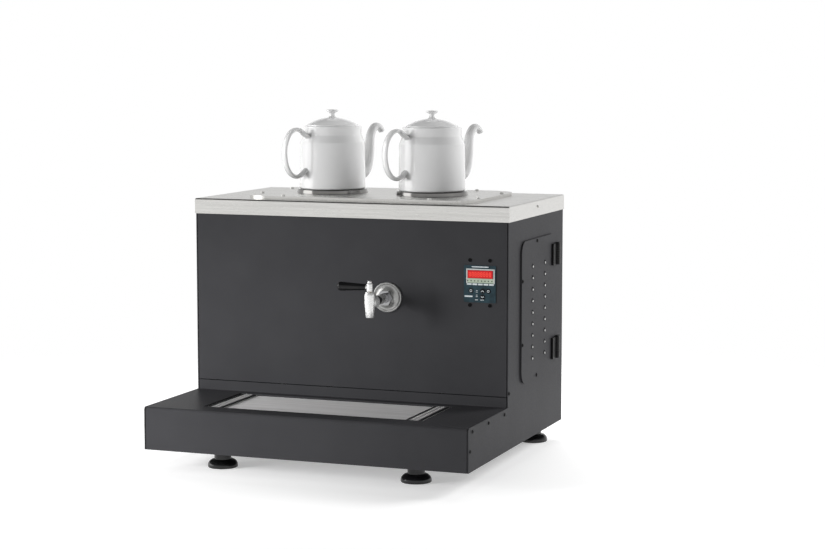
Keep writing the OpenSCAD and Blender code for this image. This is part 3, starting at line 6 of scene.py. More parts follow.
import bmesh
import bpy
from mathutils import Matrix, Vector

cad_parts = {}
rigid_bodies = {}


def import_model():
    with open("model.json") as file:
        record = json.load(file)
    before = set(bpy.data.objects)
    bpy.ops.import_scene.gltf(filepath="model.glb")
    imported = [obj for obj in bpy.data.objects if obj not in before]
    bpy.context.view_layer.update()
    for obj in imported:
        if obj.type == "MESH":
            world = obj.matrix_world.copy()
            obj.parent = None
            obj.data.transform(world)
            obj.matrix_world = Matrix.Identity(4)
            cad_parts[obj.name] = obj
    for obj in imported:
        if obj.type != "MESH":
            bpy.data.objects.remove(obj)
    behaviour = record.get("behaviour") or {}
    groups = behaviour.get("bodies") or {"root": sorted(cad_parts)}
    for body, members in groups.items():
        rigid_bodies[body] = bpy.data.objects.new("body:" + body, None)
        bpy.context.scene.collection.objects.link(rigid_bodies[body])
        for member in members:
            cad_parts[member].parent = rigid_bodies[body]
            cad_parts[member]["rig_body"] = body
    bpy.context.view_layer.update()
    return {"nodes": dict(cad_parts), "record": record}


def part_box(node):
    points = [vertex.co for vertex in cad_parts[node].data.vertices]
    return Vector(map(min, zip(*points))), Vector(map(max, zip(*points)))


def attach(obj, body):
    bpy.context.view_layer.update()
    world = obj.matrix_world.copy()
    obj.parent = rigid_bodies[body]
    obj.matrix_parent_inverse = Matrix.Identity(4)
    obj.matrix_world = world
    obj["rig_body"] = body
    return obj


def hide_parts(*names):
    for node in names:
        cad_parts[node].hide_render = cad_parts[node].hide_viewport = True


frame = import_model()

NODES = frame["nodes"]
MM = 0.001
UP = Vector((0, 0, 1))

# Camera, fitted to the straight edges of the casing
VIEW_TURN = math.radians(20.548)
VIEW_RISE = math.radians(6.211)
EYE = (1.2871, -3.1954, 0.6786)
LENS = 89.22
SENSOR = 36

# Light: the table's own glow, and softboxes as (name, place, aim, watts, size, spread in degrees)
TABLE_GLOW = 0.385
SOFTBOXES = [("left_softbox", (-1.75, -0.6, 0.8), (0, 0, 0.4), 16, 1.3, 180),
             ("front_softbox", (-1.3, -1.3, 0.45), (-0.35, -0.3, 0.1), 2.5, 0.5, 40),
             ("right_softbox", (1.8, 1.6, 1.5), (0, 0, 0.4), 52, 1.0, 180),
             ("top_softbox", (-0.2, 1.6, 2.3), (0, 0, 0.3), 40, 1.4, 180)]

# The one softbox that glaze and chrome mirror
SHOWN_SOFTBOX = "left_softbox"

# Radii in metres between which the table fades, and the surround's brightness by direction
TABLE_FADE = (0.6, 1.4)
OVERHEAD = 0.04
BEHIND_CAMERA = 0.88

# Vents in the service door and rods of the grate, in millimetres
DOOR_X = 283
VENT_W = 70
VENT_PITCH = 19.4
VENT_ROWS = 9
VENT_DROP = 4
TONGUE_R = 2.1
TONGUE_ROOT = 1.4
TONGUE_EDGE = 1.2
TONGUE_RISE = 1.25
TONGUE_BACK = 0.8
TONGUE_LOW = 0.9
ROD_R = 2
ROD_COUNT = 18
STRIP_W = 5
WEB_W = 16
WEB_T = 0.9
WEB_LAP = 0.5
OUTER_WEB_W = 2.3
STUD_R = 1.3
STUD_EDGE = 0.9
STUD_H = 1.15

# Teapot, in millimetres, from its foot up
POT_R = 57.5
POT_TOP_R = 56.3
POT_NECK_R = 50.5
POT_BODY_H = 81
POT_SHOULDER_H = 11.5
POT_RIM_H = 108.5
POT_WALL = 4
POT_FLOOR = 5
POT_FOOT_R = 3
LIP_R = 1.5
GALLERY_R = 44.9
GALLERY_H = 4
MOUTH_R = 39.9
POT_TURN = math.radians(237.5)

# Teapot's handle, an ellipse of strap in the upright plane through the pot's axis
HANDLE_MID = Vector((75, 62.75))
HANDLE_A = 25
HANDLE_B = 40.5
HANDLE_END = math.radians(125)
HANDLE_ROOT = Vector((52, 27.5))
STRAP_T = 7
STRAP_W = 14

# Teapot's spout, as [distance from the axis, height, radius]
SPOUT = [(17.5, 9, 16), (39.5, 17.5, 14), (67.5, 29, 11.5), (77.5, 55, 9.5), (81.5, 88.5, 8),
         (89.5, 103.5, 7.2), (99.5, 104, 6.4), (106, 96.5, 5.6), (108.5, 84.5, 5.4)]
SPOUT_WALL = 3

# Lid of a teapot, from the pot's rim up
LID_R = 44.5
LID_RISE = 14.5
LID_EDGE = 2
SKIRT_H = 7
SKIRT_T = 3
KNOB_H = 14
KNOB_R = 10.75
STEM_R = 4.75

# Controller prints and keys, in millimetres from the controller's middle
FRAME_BOX = (-23.2, 0.9, 25.4, 24.7)
FRAME_RIM = 2
LAMP_BAND = (-21.2, 1.8, 23.4, 8.9)
HEAD_STRIP = (-13.9, 27.1, 14.9, 28.7)
MENU_STRIP = (-26, -21.8, -12.4, -19.4)
SMALL_MARKS = [(-6.2, -11.5, -3.8, -10.5), (-6.8, -13.7, -3.2, -13), (-6.2, -18.8, -3.8, -17.8),
               (-6.8, -21, -3.2, -20.3), (-8, -26.5, -3, -25.5), (1, -26.5, 7, -25.5)]
DASHES = (-18, -8.5, 1, 10.5, 20)
DIGIT_COUNT = 8
DIGIT_STEP = 4.9
DIGIT_H = 6.4
DIGIT_W = 2.8
DIGIT_BAR = 0.7
PRINT_T = 0.15
KEYS = {"menu": (-15, -11.2), "up": (4.8, -11.2), "enter": (14.7, -11.2), "down": (4.8, -21.4)}
KEY_R = 4
KEY_STEM_R = 1.5
KEY_DISH = 0.35


# Working helpers

def srgb(code):
    """Linear colour of an sRGB hex code."""
    parts = [int(code[i:i + 2], 16) / 255 for i in (1, 3, 5)]
    return [p / 12.92 if p <= 0.04045 else ((p + 0.055) / 1.055) ** 2.4 for p in parts] + [1]


def alone(piece):
    """Select one object and nothing else."""
    bpy.ops.object.select_all(action="DESELECT")
    piece.select_set(True)
    bpy.context.view_layer.objects.active = piece


def edit(piece):
    alone(piece)
    bpy.ops.object.mode_set(mode="EDIT")


def done():
    bpy.ops.object.mode_set(mode="OBJECT")


def choose(piece, kind, test):
    """In edit mode, select only the vertices, edges or faces that pass a test."""
    bpy.ops.mesh.select_mode(type=kind)
    bpy.ops.mesh.select_all(action="DESELECT")
    shape = bmesh.from_edit_mesh(piece.data)
    items = {"VERT": shape.verts, "EDGE": shape.edges, "FACE": shape.faces}[kind]
    for item in items:
        if test(item):
            item.select_set(True)
    shape.select_flush_mode()
    bmesh.update_edit_mesh(piece.data)


def blank(name):
    """A new object at the origin whose mesh is one point, in edit mode with the point selected."""
    bpy.ops.object.select_all(action="DESELECT")
    bpy.ops.mesh.primitive_plane_add(size=MM, location=(0, 0, 0))
    piece = bpy.context.object
    piece.name = name
    piece.data.name = name
    bpy.ops.object.mode_set(mode="EDIT")
    bpy.ops.mesh.select_mode(type="VERT")
    bpy.ops.mesh.select_all(action="SELECT")
    bpy.ops.mesh.merge(type="CENTER")
    return piece


def smooth(piece, angle=35):
    alone(piece)
    bpy.ops.object.shade_smooth_by_angle(angle=math.radians(angle))


def turned(name, outline, foot, axis=UP, steps=96):
    """An outline of (radius, height) points in millimetres, spun round an axis through foot."""
    axis = Vector(axis)
    side = axis.orthogonal().normalized()
    points = [Vector(foot) + (side * r + axis * h) * MM for r, h in outline]
    piece = blank(name)
    bpy.ops.transform.translate(value=points[0])
    for a, b in zip(points, points[1:]):
        bpy.ops.mesh.extrude_vertices_move(TRANSFORM_OT_translate={"value": b - a})
    bpy.ops.mesh.select_all(action="SELECT")
    bpy.ops.mesh.spin(steps=steps, angle=math.tau, center=foot, axis=axis)
    bpy.ops.mesh.select_all(action="SELECT")
    bpy.ops.mesh.remove_doubles(threshold=0.001 * MM)
    bpy.ops.mesh.delete_loose()
    bpy.ops.mesh.select_all(action="SELECT")
    bpy.ops.mesh.normals_make_consistent(inside=False)
    done()
    return piece


def bow(mid, r, start, end, steps=8):
    """Points of an outline along an arc, with its angles in degrees."""
    angles = [math.radians(start + (end - start) * i / steps) for i in range(steps + 1)]
    return [(mid[0] + r * math.cos(a), mid[1] + r * math.sin(a)) for a in angles]


def swept(name, rings, sides=28):
    """Rings of (centre, half width, half thickness) in millimetres, bridged in order and closed.

    The centres lie in the x-z plane, and the width is across it."""
    piece = blank(name)
    bpy.ops.mesh.delete(type="VERT")
    for i, (mid, half_w, half_t) in enumerate(rings):
        along = rings[min(i + 1, len(rings) - 1)][0] - rings[max(i - 1, 0)][0]
        bpy.ops.mesh.primitive_circle_add(vertices=sides, radius=half_t * MM, location=mid * MM,
                                          rotation=(0, math.atan2(along.x, along.z), 0))
        bpy.ops.transform.resize(value=(1, half_w / half_t, 1), center_override=mid * MM)
    bpy.ops.mesh.select_all(action="SELECT")
    bpy.ops.mesh.bridge_edge_loops()
    bpy.ops.mesh.select_mode(type="EDGE")
    bpy.ops.mesh.select_all(action="DESELECT")
    bpy.ops.mesh.select_non_manifold()
    bpy.ops.mesh.fill_holes(sides=0)
    bpy.ops.mesh.select_all(action="SELECT")
    bpy.ops.mesh.normals_make_consistent(inside=False)
    done()
    return piece


def combine(piece, other, operation):
    """Join another solid to a piece or cut it out of the piece."""
    alone(piece)
    change = piece.modifiers.new("combine", "BOOLEAN")
    change.operation = operation
    change.object = other
    change.solver = "EXACT"
    bpy.ops.object.modifier_apply(modifier=change.name)
    bpy.data.objects.remove(other)


def round_edges(piece, width, angle=35, segments=2):
    """Round the edges that turn by more than an angle, by a width in millimetres."""
    alone(piece)
    change = piece.modifiers.new("round", "BEVEL")
    change.width = width * MM
    change.segments = segments
    change.limit_method = "ANGLE"
    change.angle_limit = math.radians(angle)
    change.use_clamp_overlap = True
    bpy.ops.object.modifier_apply(modifier=change.name)


def copied(piece, name, shift):
    """A copy of a piece with its own mesh, moved by a vector in metres."""
    alone(piece)
    bpy.ops.object.duplicate()
    copy = bpy.context.object
    copy.name = name
    copy.data.name = name
    bpy.ops.transform.translate(value=shift)
    bpy.ops.object.transform_apply(location=True, rotation=True, scale=True)
    return copy


def block(name, low, high):
    """A block between two corners in metres."""
    low, high = Vector(low), Vector(high)
    bpy.ops.object.select_all(action="DESELECT")
    bpy.ops.mesh.primitive_cube_add(size=1, location=(0, 0, 0))
    piece = bpy.context.object
    piece.name = name
    piece.data.name = name
    piece.scale = high - low
    piece.location = (low + high) / 2
    bpy.ops.object.transform_apply(location=True, rotation=True, scale=True)
    return piece


def joined(pieces, name):
    bpy.ops.object.select_all(action="DESELECT")
    for piece in pieces:
        piece.select_set(True)
    bpy.context.view_layer.objects.active = pieces[0]
    bpy.ops.object.join()
    pieces[0].name = name
    pieces[0].data.name = name
    return pieces[0]


# Materials

def add(tree, kind, inputs=None, **settings):
    """Add a shader node: an input that is a socket is linked, and any other value is set."""
    new = tree.nodes.new("ShaderNode" + kind)
    for key, value in settings.items():
        setattr(new, key, value)
    for key, value in (inputs or {}).items():
        if isinstance(value, bpy.types.NodeSocket):
            tree.links.new(value, new.inputs[key])
        else:
            new.inputs[key].default_value = value
    return new


def finish(name, colours, rough, patch, grain, relief, stretch=(1, 1, 1), **sockets):
    """A surface with two close colours in patches, and a grain in its gloss and its relief.

    Patch and grain are sizes in millimetres, relief is the grain's depth in millimetres, and
    stretch divides the grain's frequency along x, y and z."""
    material = bpy.data.materials.new(name)
    material.use_nodes = True
    tree = material.node_tree
    shader = tree.nodes["Principled BSDF"]
    place = add(tree, "TexCoord").outputs["Object"]
    pulled = add(tree, "Mapping", {"Vector": place, "Scale": [1 / s for s in stretch]})
    cloud = add(tree, "TexNoise", {"Vector": pulled.outputs[0], "Scale": 1 / (patch * MM), "Detail": 3})
    spread = add(tree, "MapRange", {"Value": cloud.outputs["Fac"], "From Min": 0.3, "From Max": 0.7})
    tone = add(tree, "MixRGB", {"Fac": spread.outputs[0], "Color1": srgb(colours[0]),
                                "Color2": srgb(colours[1])})
    tree.links.new(tone.outputs[0], shader.inputs["Base Color"])
    fine = add(tree, "TexNoise", {"Vector": pulled.outputs[0], "Scale": 1 / (grain * MM), "Detail": 2})
    gloss = add(tree, "MapRange", {"Value": fine.outputs["Fac"], "From Min": 0.3, "From Max": 0.7,
                                   "To Min": rough[0], "To Max": rough[1]})
    tree.links.new(gloss.outputs[0], shader.inputs["Roughness"])
    bump = add(tree, "Bump", {"Height": fine.outputs["Fac"], "Strength": 1, "Distance": relief * MM})
    tree.links.new(bump.outputs[0], shader.inputs["Normal"])
    labels = {socket.name.lower(): socket for socket in shader.inputs}
    for key, value in sockets.items():
        labels[key.replace("_", " ")].default_value = value
    return material


# Powder coat baked on sheet steel: satin charcoal with a faint orange-peel skin.
charcoal = finish("charcoal_powder_coat", ("#363638", "#39393b"), (0.36, 0.44), 70, 2.4, 0.02,
                  specular_ior_level=0.03)

# Stainless sheet brushed along its length: long fine streaks that stretch the reflections.
brushed = finish("brushed_stainless", ("#d2d1ce", "#dfdedb"), (0.24, 0.36), 3, 1.2, 0.01,
                 stretch=(40, 1, 1), metallic=1)

# Stainless collar spun and polished: a near mirror with slight waves, its colour darker than the metal's
# own as painted shade and dark reflection under the pots.
seat_steel_painted_dark = finish("spun_stainless_painted_dark", ("#747372", "#807f7d"), (0.08, 0.14), 20, 3, 0.002, metallic=1)

# Bright zinc screws: small pale metal heads.
zinc = finish("bright_zinc", ("#d4d4d1", "#e2e2de"), (0.22, 0.34), 3, 0.8, 0.01, metallic=0.4)

# Black oxide screws: dark metal with a low sheen.
black_oxide = finish("black_oxide_screws", ("#060607", "#0b0b0c"), (0.36, 0.5), 4, 0.8, 0.01,
                     specular_ior_level=0.1)

# Silicone sheet: matt brick-coloured rubber.
silicone = finish("silicone_gasket", ("#a3543a", "#b3603f"), (0.6, 0.75), 12, 1.5, 0.02)

# Zinc-plated nuts: greyish metal with a dull sheen.
plated = finish("zinc_plated_nuts", ("#9d9fa1", "#b0b2b3"), (0.3, 0.45), 6, 1.2, 0.01, metallic=1)

# Stainless tank with a mill finish: even grey metal, blurred reflections.
mill = finish("mill_stainless", ("#a9a9a7", "#b7b7b4"), (0.34, 0.46), 40, 2, 0.01, metallic=1)

# Mineral wool slab: matt straw-coloured fibres.
wool = finish("mineral_wool", ("#b6a267", "#d3c391"), (0.9, 1.0), 8, 2, 0.8, stretch=(1, 3, 1))

# Heater sheath of nickel alloy, dulled by heat: brownish metal with little shine.
sheath = finish("nickel_sheath", ("#7c756a", "#94897a"), (0.4, 0.55), 10, 1.5, 0.02, metallic=0.9)

# Moulded black nylon: even black with a fine spark-eroded grain.
nylon = finish("black_nylon", ("#17181a", "#1f2022"), (0.42, 0.55), 15, 0.9, 0.02)

# Moulded cream thermoset: matt ivory terminals.
thermoset = finish("cream_thermoset", ("#dcd6c4", "#e6e1d2"), (0.45, 0.6), 15, 1.2, 0.02)

# Turned brass: warm yellow metal with a soft sheen.
brass = finish("turned_brass", ("#b0914f", "#c2a561"), (0.24, 0.36), 10, 1, 0.01, metallic=1)

# Satin chrome over brass: a bright pale metal whose reflections melt together.
chrome = finish("satin_chrome", ("#ececec", "#f2f2f1"), (0.24, 0.3), 30, 6, 0.001, metallic=0.55)

# Bright chrome of the shank and its nuts: a mirror that picks up the dark panel.
mirror = finish("bright_chrome", ("#a6a6a8", "#b0b0b2"), (0.06, 0.1), 20, 4, 0.001, metallic=1)

# Flange faced on a lathe: fine turning marks that grey the metal.
faced = finish("faced_stainless", ("#a3a3a2", "#b1b1af"), (0.26, 0.36), 5, 0.9, 0.01, metallic=0.7)

# Compression-moulded bakelite, buffed: deep black with a sharp gloss.
bakelite = finish("black_bakelite", ("#0d0d0e", "#141415"), (0.10, 0.18), 18, 3, 0.006,
                  specular_ior_level=0.25, coat_weight=0.1, coat_roughness=0.06)

# Printed polyester film over the controller: dark teal, smooth and slightly glossy.
film = finish("teal_film", ("#1b2a30", "#263b43"), (0.34, 0.44), 9, 1, 0.006, specular_ior_level=0.2)

# Circuit board: green solder mask with a satin gloss.
mask = finish("green_solder_mask", ("#245a33", "#2e6b3e"), (0.28, 0.4), 9, 1, 0.01)

# Silicone rubber keys: dark navy, soft sheen.
keys = finish("navy_rubber_keys", ("#05080c", "#0a0f16"), (0.36, 0.46), 5, 0.8, 0.01,
              specular_ior_level=0.2)

# Hinges of cast zinc with black paint: a deep black against the charcoal.
hinge_paint = finish("black_cast_hinges", ("#070708", "#0d0d0e"), (0.34, 0.48), 9, 1.2, 0.02,
                     specular_ior_level=0.2)

# Moulded feet of glossy black plastic: black with small sharp highlights.
gloss_black = finish("glossy_black_feet", ("#0a0a0b", "#121213"), (0.16, 0.24), 20, 4, 0.01)

# Stainless drip pan, deep drawn: soft grey metal.
drawn = finish("drawn_stainless", ("#a5a5a3", "#b6b6b3"), (0.3, 0.42), 25, 1.5, 0.01, metallic=1)

# Blasted wire of the grate: pale grey metal, bright along the top.
wire = finish("blasted_wire", ("#b0afaf", "#c0bfbf"), (0.32, 0.42), 6, 1, 0.008, stretch=(30, 1, 1),
              metallic=0.35)

# Black strips across the grate: painted flat steel.
strip = finish("black_strip_paint", ("#101011", "#18181a"), (0.36, 0.5), 8, 1.2, 0.015)

# Glazed porcelain: clean white body under a thick clear glaze, with a slow ripple.
porcelain = finish("glazed_porcelain", ("#d8d8d8", "#dedede"), (0.12, 0.18), 60, 22, 0.02,
                   coat_weight=0.6, coat_roughness=0.05)

# Silver print on the controller's film: pale metallic ink.
silver_ink = finish("silver_ink", ("#a9aba9", "#babcba"), (0.35, 0.5), 4, 0.8, 0.004)

# White print on the controller's film and keys: thin pale marks.
white_ink = finish("white_ink", ("#b4bcc0", "#c8ced0"), (0.45, 0.6), 3, 0.8, 0.004)

# Grey-green print behind the row of lamps: a flat muted band.
band_ink = finish("grey_green_ink", ("#93a08e", "#a6b29f"), (0.4, 0.5), 5, 0.8, 0.004)

# Red filter in front of the lit display: an even red glow.
glow = finish("lit_red_filter", ("#a81a1e", "#b41f22"), (0.3, 0.4), 12, 1, 0.004, specular_ior_level=0.2,
              emission_color=srgb("#d82428"), emission_strength=0.2)

# Digits on the display: lit segments, a warmer red than the filter.
digit = finish("lit_red_digits", ("#d83a30", "#e24638"), (0.3, 0.4), 4, 0.8, 0.004,
               emission_color=srgb("#ff5a3c"), emission_strength=0.45)

# Bare pressed steel, pale: small bright spots in the vents and on the grate's ends, partly the metal's own
# colour and partly painted glints.
painted_glint_steel = finish("bare_steel_painted_glints", ("#c4c4c2", "#d4d4d2"), (0.25, 0.35), 3, 0.8, 0.004, metallic=0.5)

# Unlit lamp lenses: dark smoked plastic.
lens = finish("smoked_lens", ("#1a211e", "#232b27"), (0.25, 0.35), 3, 0.8, 0.004)

FINISHES = {
    "charcoal_paint": charcoal, "cover_steel": brushed, "seat_steel": seat_steel_painted_dark, "bright_screws": zinc,
    "black_screws": black_oxide, "gasket_rubber": silicone, "nut_steel": plated, "tank_steel": mill,
    "mineral_wool": wool, "heater_sheath": sheath, "black_moulding": nylon, "cream_moulding": thermoset,
    "valve_brass": brass, "tap_chrome": chrome, "lever_bakelite": bakelite, "fascia_film": film,
    "display_red": glow, "board_green": mask, "button_navy": keys, "hinge_black": hinge_paint,
    "foot_black": gloss_black, "pan_steel": drawn, "grate_steel": wire, "strip_black": strip,
    "porcelain": porcelain}

OWN_FINISH = {"hinge_pins": hinge_paint, "tap_shank": mirror, "tap_nuts": mirror}

SLOT_OF = {part["node"]: part["material_slot"] for part in frame["record"]["subparts"]}


def dress(piece, slot, body, material=None, replaced=()):
    """Give a new piece its finish, its body and the nodes that it stands for."""
    piece.data.materials.clear()
    piece.data.materials.append(material or FINISHES[slot])
    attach(piece, body)
    if replaced:
        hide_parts(*replaced)


def stand_for(piece, node):
    """Dress a piece that replaces one node, with the node's own finish and body."""
    dress(piece, SLOT_OF[node], NODES[node]["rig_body"], replaced=(node,))


# Sheet, cast and moulded pieces, from the frame, with their edges eased

def even(piece):
    """Let the large faces set the normals, so that flat sheet shades flat."""
    alone(piece)
    change = piece.modifiers.new("even", "WEIGHTED_NORMAL")
    change.keep_sharp = True
    bpy.ops.object.modifier_apply(modifier=change.name)


# In metres: slack for finding an edge, and a height between the apron's foot and the deck's fold
NEAR = 0.05 * MM
BELOW_FOLD_Z = 0.08


def along_top_rim(edge):
    """Whether an edge runs round the cover's upper outer rim."""
    low, high = (Vector(c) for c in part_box("top_cover"))
    a, b = edge.verts[0].co, edge.verts[1].co
    return min(a.z, b.z) > high.z - NEAR and any(
        max(abs(a[k] - side[k]), abs(b[k] - side[k])) < NEAR for k in (0, 1) for side in (low, high))


def along_deck_front(edge):
    """Whether an edge is the bend between the drip deck and its apron."""
    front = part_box("drip_deck")[0][1]
    a, b = edge.verts[0].co, edge.verts[1].co
    level = abs(a.z - b.z) < NEAR and a.z > BELOW_FOLD_Z
    return level and max(abs(a.y - front), abs(b.y - front)) < NEAR


BENDS = {"top_cover": along_top_rim, "drip_deck": along_deck_front}
BEND_R = 4


def shaped(node, width, angle=30):
    """A merged copy of a node, with its hard edges rounded by a width in millimetres."""
    piece = bpy.data.objects.new(node + "_eased", NODES[node].data.copy())
    bpy.context.scene.collection.objects.link(piece)
    alone(piece)
    bpy.ops.mesh.customdata_custom_splitnormals_clear()
    edit(piece)
    bpy.ops.mesh.select_all(action="SELECT")
    bpy.ops.mesh.remove_doubles(threshold=0.002 * MM)
    bpy.ops.mesh.dissolve_limited(angle_limit=math.radians(0.3))
    if node in BENDS:
        choose(piece, "EDGE", BENDS[node])
        bpy.ops.mesh.bevel(offset=BEND_R * MM, segments=6, affect="EDGES")
    done()
    if width:
        round_edges(piece, width, angle)
    smooth(piece, angle)
    even(piece)
    return piece


def split_off(piece, name, test):
    """Part the solids whose points pass a test from a piece."""
    edit(piece)
    choose(piece, "VERT", test)
    bpy.ops.mesh.separate(type="SELECTED")
    done()
    part = next(other for other in bpy.context.selected_objects if other is not piece)
    part.name = name
    part.data.name = name
    return part


EASED = {
    "base_pan": 0.4, "left_side_panel": 0.4, "right_side_panel": 0.4, "front_panel": 0.4,
    "back_panel": 0.4, "drip_deck": 0.4, "top_cover": 0.4, "pot_plate": 0.4, "plate_screws": 0.4,
    "boiler_tank": 0, "tank_lid": 0, "tank_stand": 0.3, "heating_element": 0.3,
    "element_screws": 0.3, "temperature_probe": 0.3, "safety_cutout": 0.3, "power_relay": 0.6,
    "terminal_block": 0.5, "water_inlet": 0.5, "fill_pipe": 0, "cord_gland": 0.5, "tap_shank": 0.3,
    "tap_nuts": 0.6, "tap_plug": 0.2, "control_fascia": 0.2, "control_board": 0.2,
    "board_spacers": 0, "control_screws": 0.3, "side_door": 0.4, "door_hinge_leaves": 0.5,
    "body_hinge_leaves": 0.5, "hinge_pins": 0.3, "door_screws": 0.3, "drip_pan": 0.3, "drip_grate": 0.3,
    "grate_strips": 0.25, "foot_nuts": 0.4}


def dress_casing():
    for node, width in EASED.items():
        piece = shaped(node, width)
        dress(piece, SLOT_OF[node], NODES[node]["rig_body"], OWN_FINISH.get(node), (node,))
    screws = shaped("casing_screws", 0.35)
    rim_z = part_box("top_cover")[0][2]
    rim_screws = split_off(screws, "cover_screws_eased", lambda v: v.co.z > rim_z)
    stand_for(screws, "casing_screws")
    dress(rim_screws, "bright_screws", NODES["casing_screws"]["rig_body"], brushed)
    for node in ("plate_gasket", "insulation_jacket", "display_window"):
        NODES[node].data.materials.clear()
        NODES[node].data.materials.append(FINISHES[SLOT_OF[node]])


def middle(node):
    low, high = (Vector(c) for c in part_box(node))
    return (low + high) / 2


def row(piece, count, step):
    """Repeat a piece along a step in millimetres."""
    alone(piece)
    change = piece.modifiers.new("row", "ARRAY")
    change.count = count
    change.use_relative_offset = False
    change.use_constant_offset = True
    change.constant_offset_displace = Vector(step) * MM
    bpy.ops.object.modifier_apply(modifier=change.name)
    return piece


def set_vents():
    """Small bright tongues pressed into the lower rear of the door's vent holes, their pale steel a painted
    glint.
    """
    mid = middle("side_door")
    first_z = mid.z - (VENT_DROP + (VENT_ROWS - 1) / 2 * VENT_PITCH + TONGUE_LOW) * MM
    low = Vector((DOOR_X * MM, mid.y + (TONGUE_BACK - VENT_W / 2) * MM, first_z))
    outline = [(0, -TONGUE_ROOT), (TONGUE_R, -TONGUE_ROOT), (TONGUE_R, 0)]
    outline += bow((TONGUE_R - TONGUE_EDGE, 0), TONGUE_EDGE, 0, 90, 5) + [(0, TONGUE_RISE)]
    first = turned("vent_tongues", outline, low, axis=(1, 0, 0), steps=24)
    smooth(first, 50)
    row(first, VENT_ROWS, (0, 0, VENT_PITCH))
    second = copied(first, "vent_tongues_rear", (0, VENT_W * MM, 0))
    dress(joined([first, second], "vent_tongues"), "bright_screws", "side_door", painted_glint_steel)


def slab(name, low, high, rounding):
    """A block between two corners in millimetres, with its edges rounded."""
    piece = block(name, Vector(low) * MM, Vector(high) * MM)
    round_edges(piece, rounding)
    return piece


def set_grate_ends():
    """Pale webs between and outside the grate's strips, with rows of bright studs on them whose pale steel
    is a painted glint.
    """
    low, high = (Vector(c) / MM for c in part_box("grate_strips"))
    pitch = (high.y - low.y - 2 * ROD_R) / (ROD_COUNT - 1)
    inner = high.x - STRIP_W - WEB_W
    web_z = high.z - 0.3
    edge_z = high.z - 1.1
    dome = [(0, 0), (STUD_R, 0), (STUD_R, 0.2)]
    dome += bow((STUD_R - STUD_EDGE, 0.2), STUD_EDGE, 0, 90, 4) + [(0, STUD_H)]
    webs = []
    studs = []
    for s in (-1, 1):
        for x0, x1, z in ((inner - WEB_LAP, high.x - STRIP_W + WEB_LAP, web_z),
                          (high.x - 0.2, high.x + OUTER_WEB_W, edge_z)):
            left, right = sorted((s * x0, s * x1))
            webs.append(slab("web", (left, low.y, z - WEB_T), (right, high.y, z), 0.2))
        for x, z in ((high.x - STRIP_W - 4, web_z - 0.2), (inner + 4, web_z - 0.2),
                     (inner - STRIP_W - 1.6, edge_z - 0.5), (high.x + 1.2, edge_z - 0.5)):
            stud = turned("stud", dome, Vector((s * x, low.y + ROD_R, z)) * MM, steps=16)
            smooth(stud, 50)
            studs.append(row(stud, ROD_COUNT, (0, pitch, 0)))
    dress(joined(webs, "grate_webs"), "grate_steel", "drip_grate")
    dress(joined(studs, "grate_studs"), "grate_steel", "drip_grate", painted_glint_steel)


# Teapots

def pot_axis(side):
    """Foot of a teapot: the middle of its seat's upper face."""
    low, high = (Vector(c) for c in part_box("seat_" + side))
    return Vector(((low.x + high.x) / 2, (low.y + high.y) / 2, high.z))


def through(a, b, c, d, t):
    """Point at t between b and c on a smooth curve through a, b, c and d."""
    return 0.5 * (2 * b + (c - a) * t + (2 * a - 5 * b + 4 * c - d) * t * t
                  + (3 * b - a - 3 * c + d) * t * t * t)


def handle():
    """Strap handle on +X: most of an ellipse, flared where it grows out of the wall."""
    steps = 36
    flare_steps = 4
    rings = []
    for i in range(steps + 1):
        a = HANDLE_END * (1 - 2 * i / steps)
        near = max(0, 1 - min(i, steps - i) / flare_steps)
        grow = 1 + 0.12 * near * near
        mid = Vector((HANDLE_MID.x + HANDLE_A * math.cos(a), 0, HANDLE_MID.y + HANDLE_B * math.sin(a)))
        rings.append((mid, STRAP_W / 2 * grow, STRAP_T / 2 * grow))
    for s, place in ((1, 0), (-1, len(rings) + 1)):
        root = Vector((HANDLE_ROOT.x, 0, HANDLE_MID.y + s * HANDLE_ROOT.y))
        rings.insert(place, (root, STRAP_W * 0.58, STRAP_T * 0.58))
    return swept("handle", rings)


def spout(wall):
    """Spout on -X as a solid, thinner than its outside by a wall."""
    guide = [Vector(p) for p in SPOUT]
    steps = 6
    curve = []
    for i in range(1, len(guide) - 2):
        for k in range(steps + (i == len(guide) - 3)):
            curve.append(through(guide[i - 1], guide[i], guide[i + 1], guide[i + 2], k / steps))
    rings = [(Vector((-p.x, 0, p.y)), p.z - wall, p.z - wall) for p in curve]
    if wall:
        rings.append((2 * rings[-1][0] - rings[-2][0], rings[-1][1], rings[-1][2]))
    return swept("spout", rings)


def teapot(foot):
    """A teapot modelled over the origin, then turned and moved to its foot."""
    shoulder_h = POT_BODY_H + POT_SHOULDER_H
    inner = POT_R - POT_WALL
    outside = [(0, 0)] + bow((POT_R - POT_FOOT_R, POT_FOOT_R), POT_FOOT_R, -90, 0)
    outside += [(POT_TOP_R, POT_BODY_H - 2), (POT_TOP_R - 0.7, POT_BODY_H + 0.6)]
    outside += [(POT_NECK_R + 0.7, shoulder_h - 0.9), (POT_NECK_R, shoulder_h + 1)]
    outside += bow((POT_NECK_R - LIP_R, POT_RIM_H - LIP_R), LIP_R, 0, 90) + [(0, POT_RIM_H)]
    hollow = [(0, POT_FLOOR)] + bow((inner - POT_FOOT_R, POT_FLOOR + POT_FOOT_R), POT_FOOT_R, -90, 0)
    hollow += [(POT_TOP_R - POT_WALL, POT_BODY_H), (MOUTH_R, shoulder_h), (MOUTH_R, POT_RIM_H - GALLERY_H),
               (GALLERY_R, POT_RIM_H - GALLERY_H), (GALLERY_R, POT_RIM_H + 1), (0, POT_RIM_H + 1)]
    pot = turned("pot_left_porcelain", outside, (0, 0, 0), steps=128)
    combine(pot, handle(), "UNION")
    combine(pot, spout(0), "UNION")
    combine(pot, turned("hollow", hollow, (0, 0, 0), steps=96), "DIFFERENCE")
    combine(pot, spout(SPOUT_WALL), "DIFFERENCE")
    alone(pot)
    pot.rotation_euler = (0, 0, POT_TURN)
    pot.location = foot
    bpy.ops.object.transform_apply(location=True, rotation=True, scale=True)
    smooth(pot, 40)
    return pot


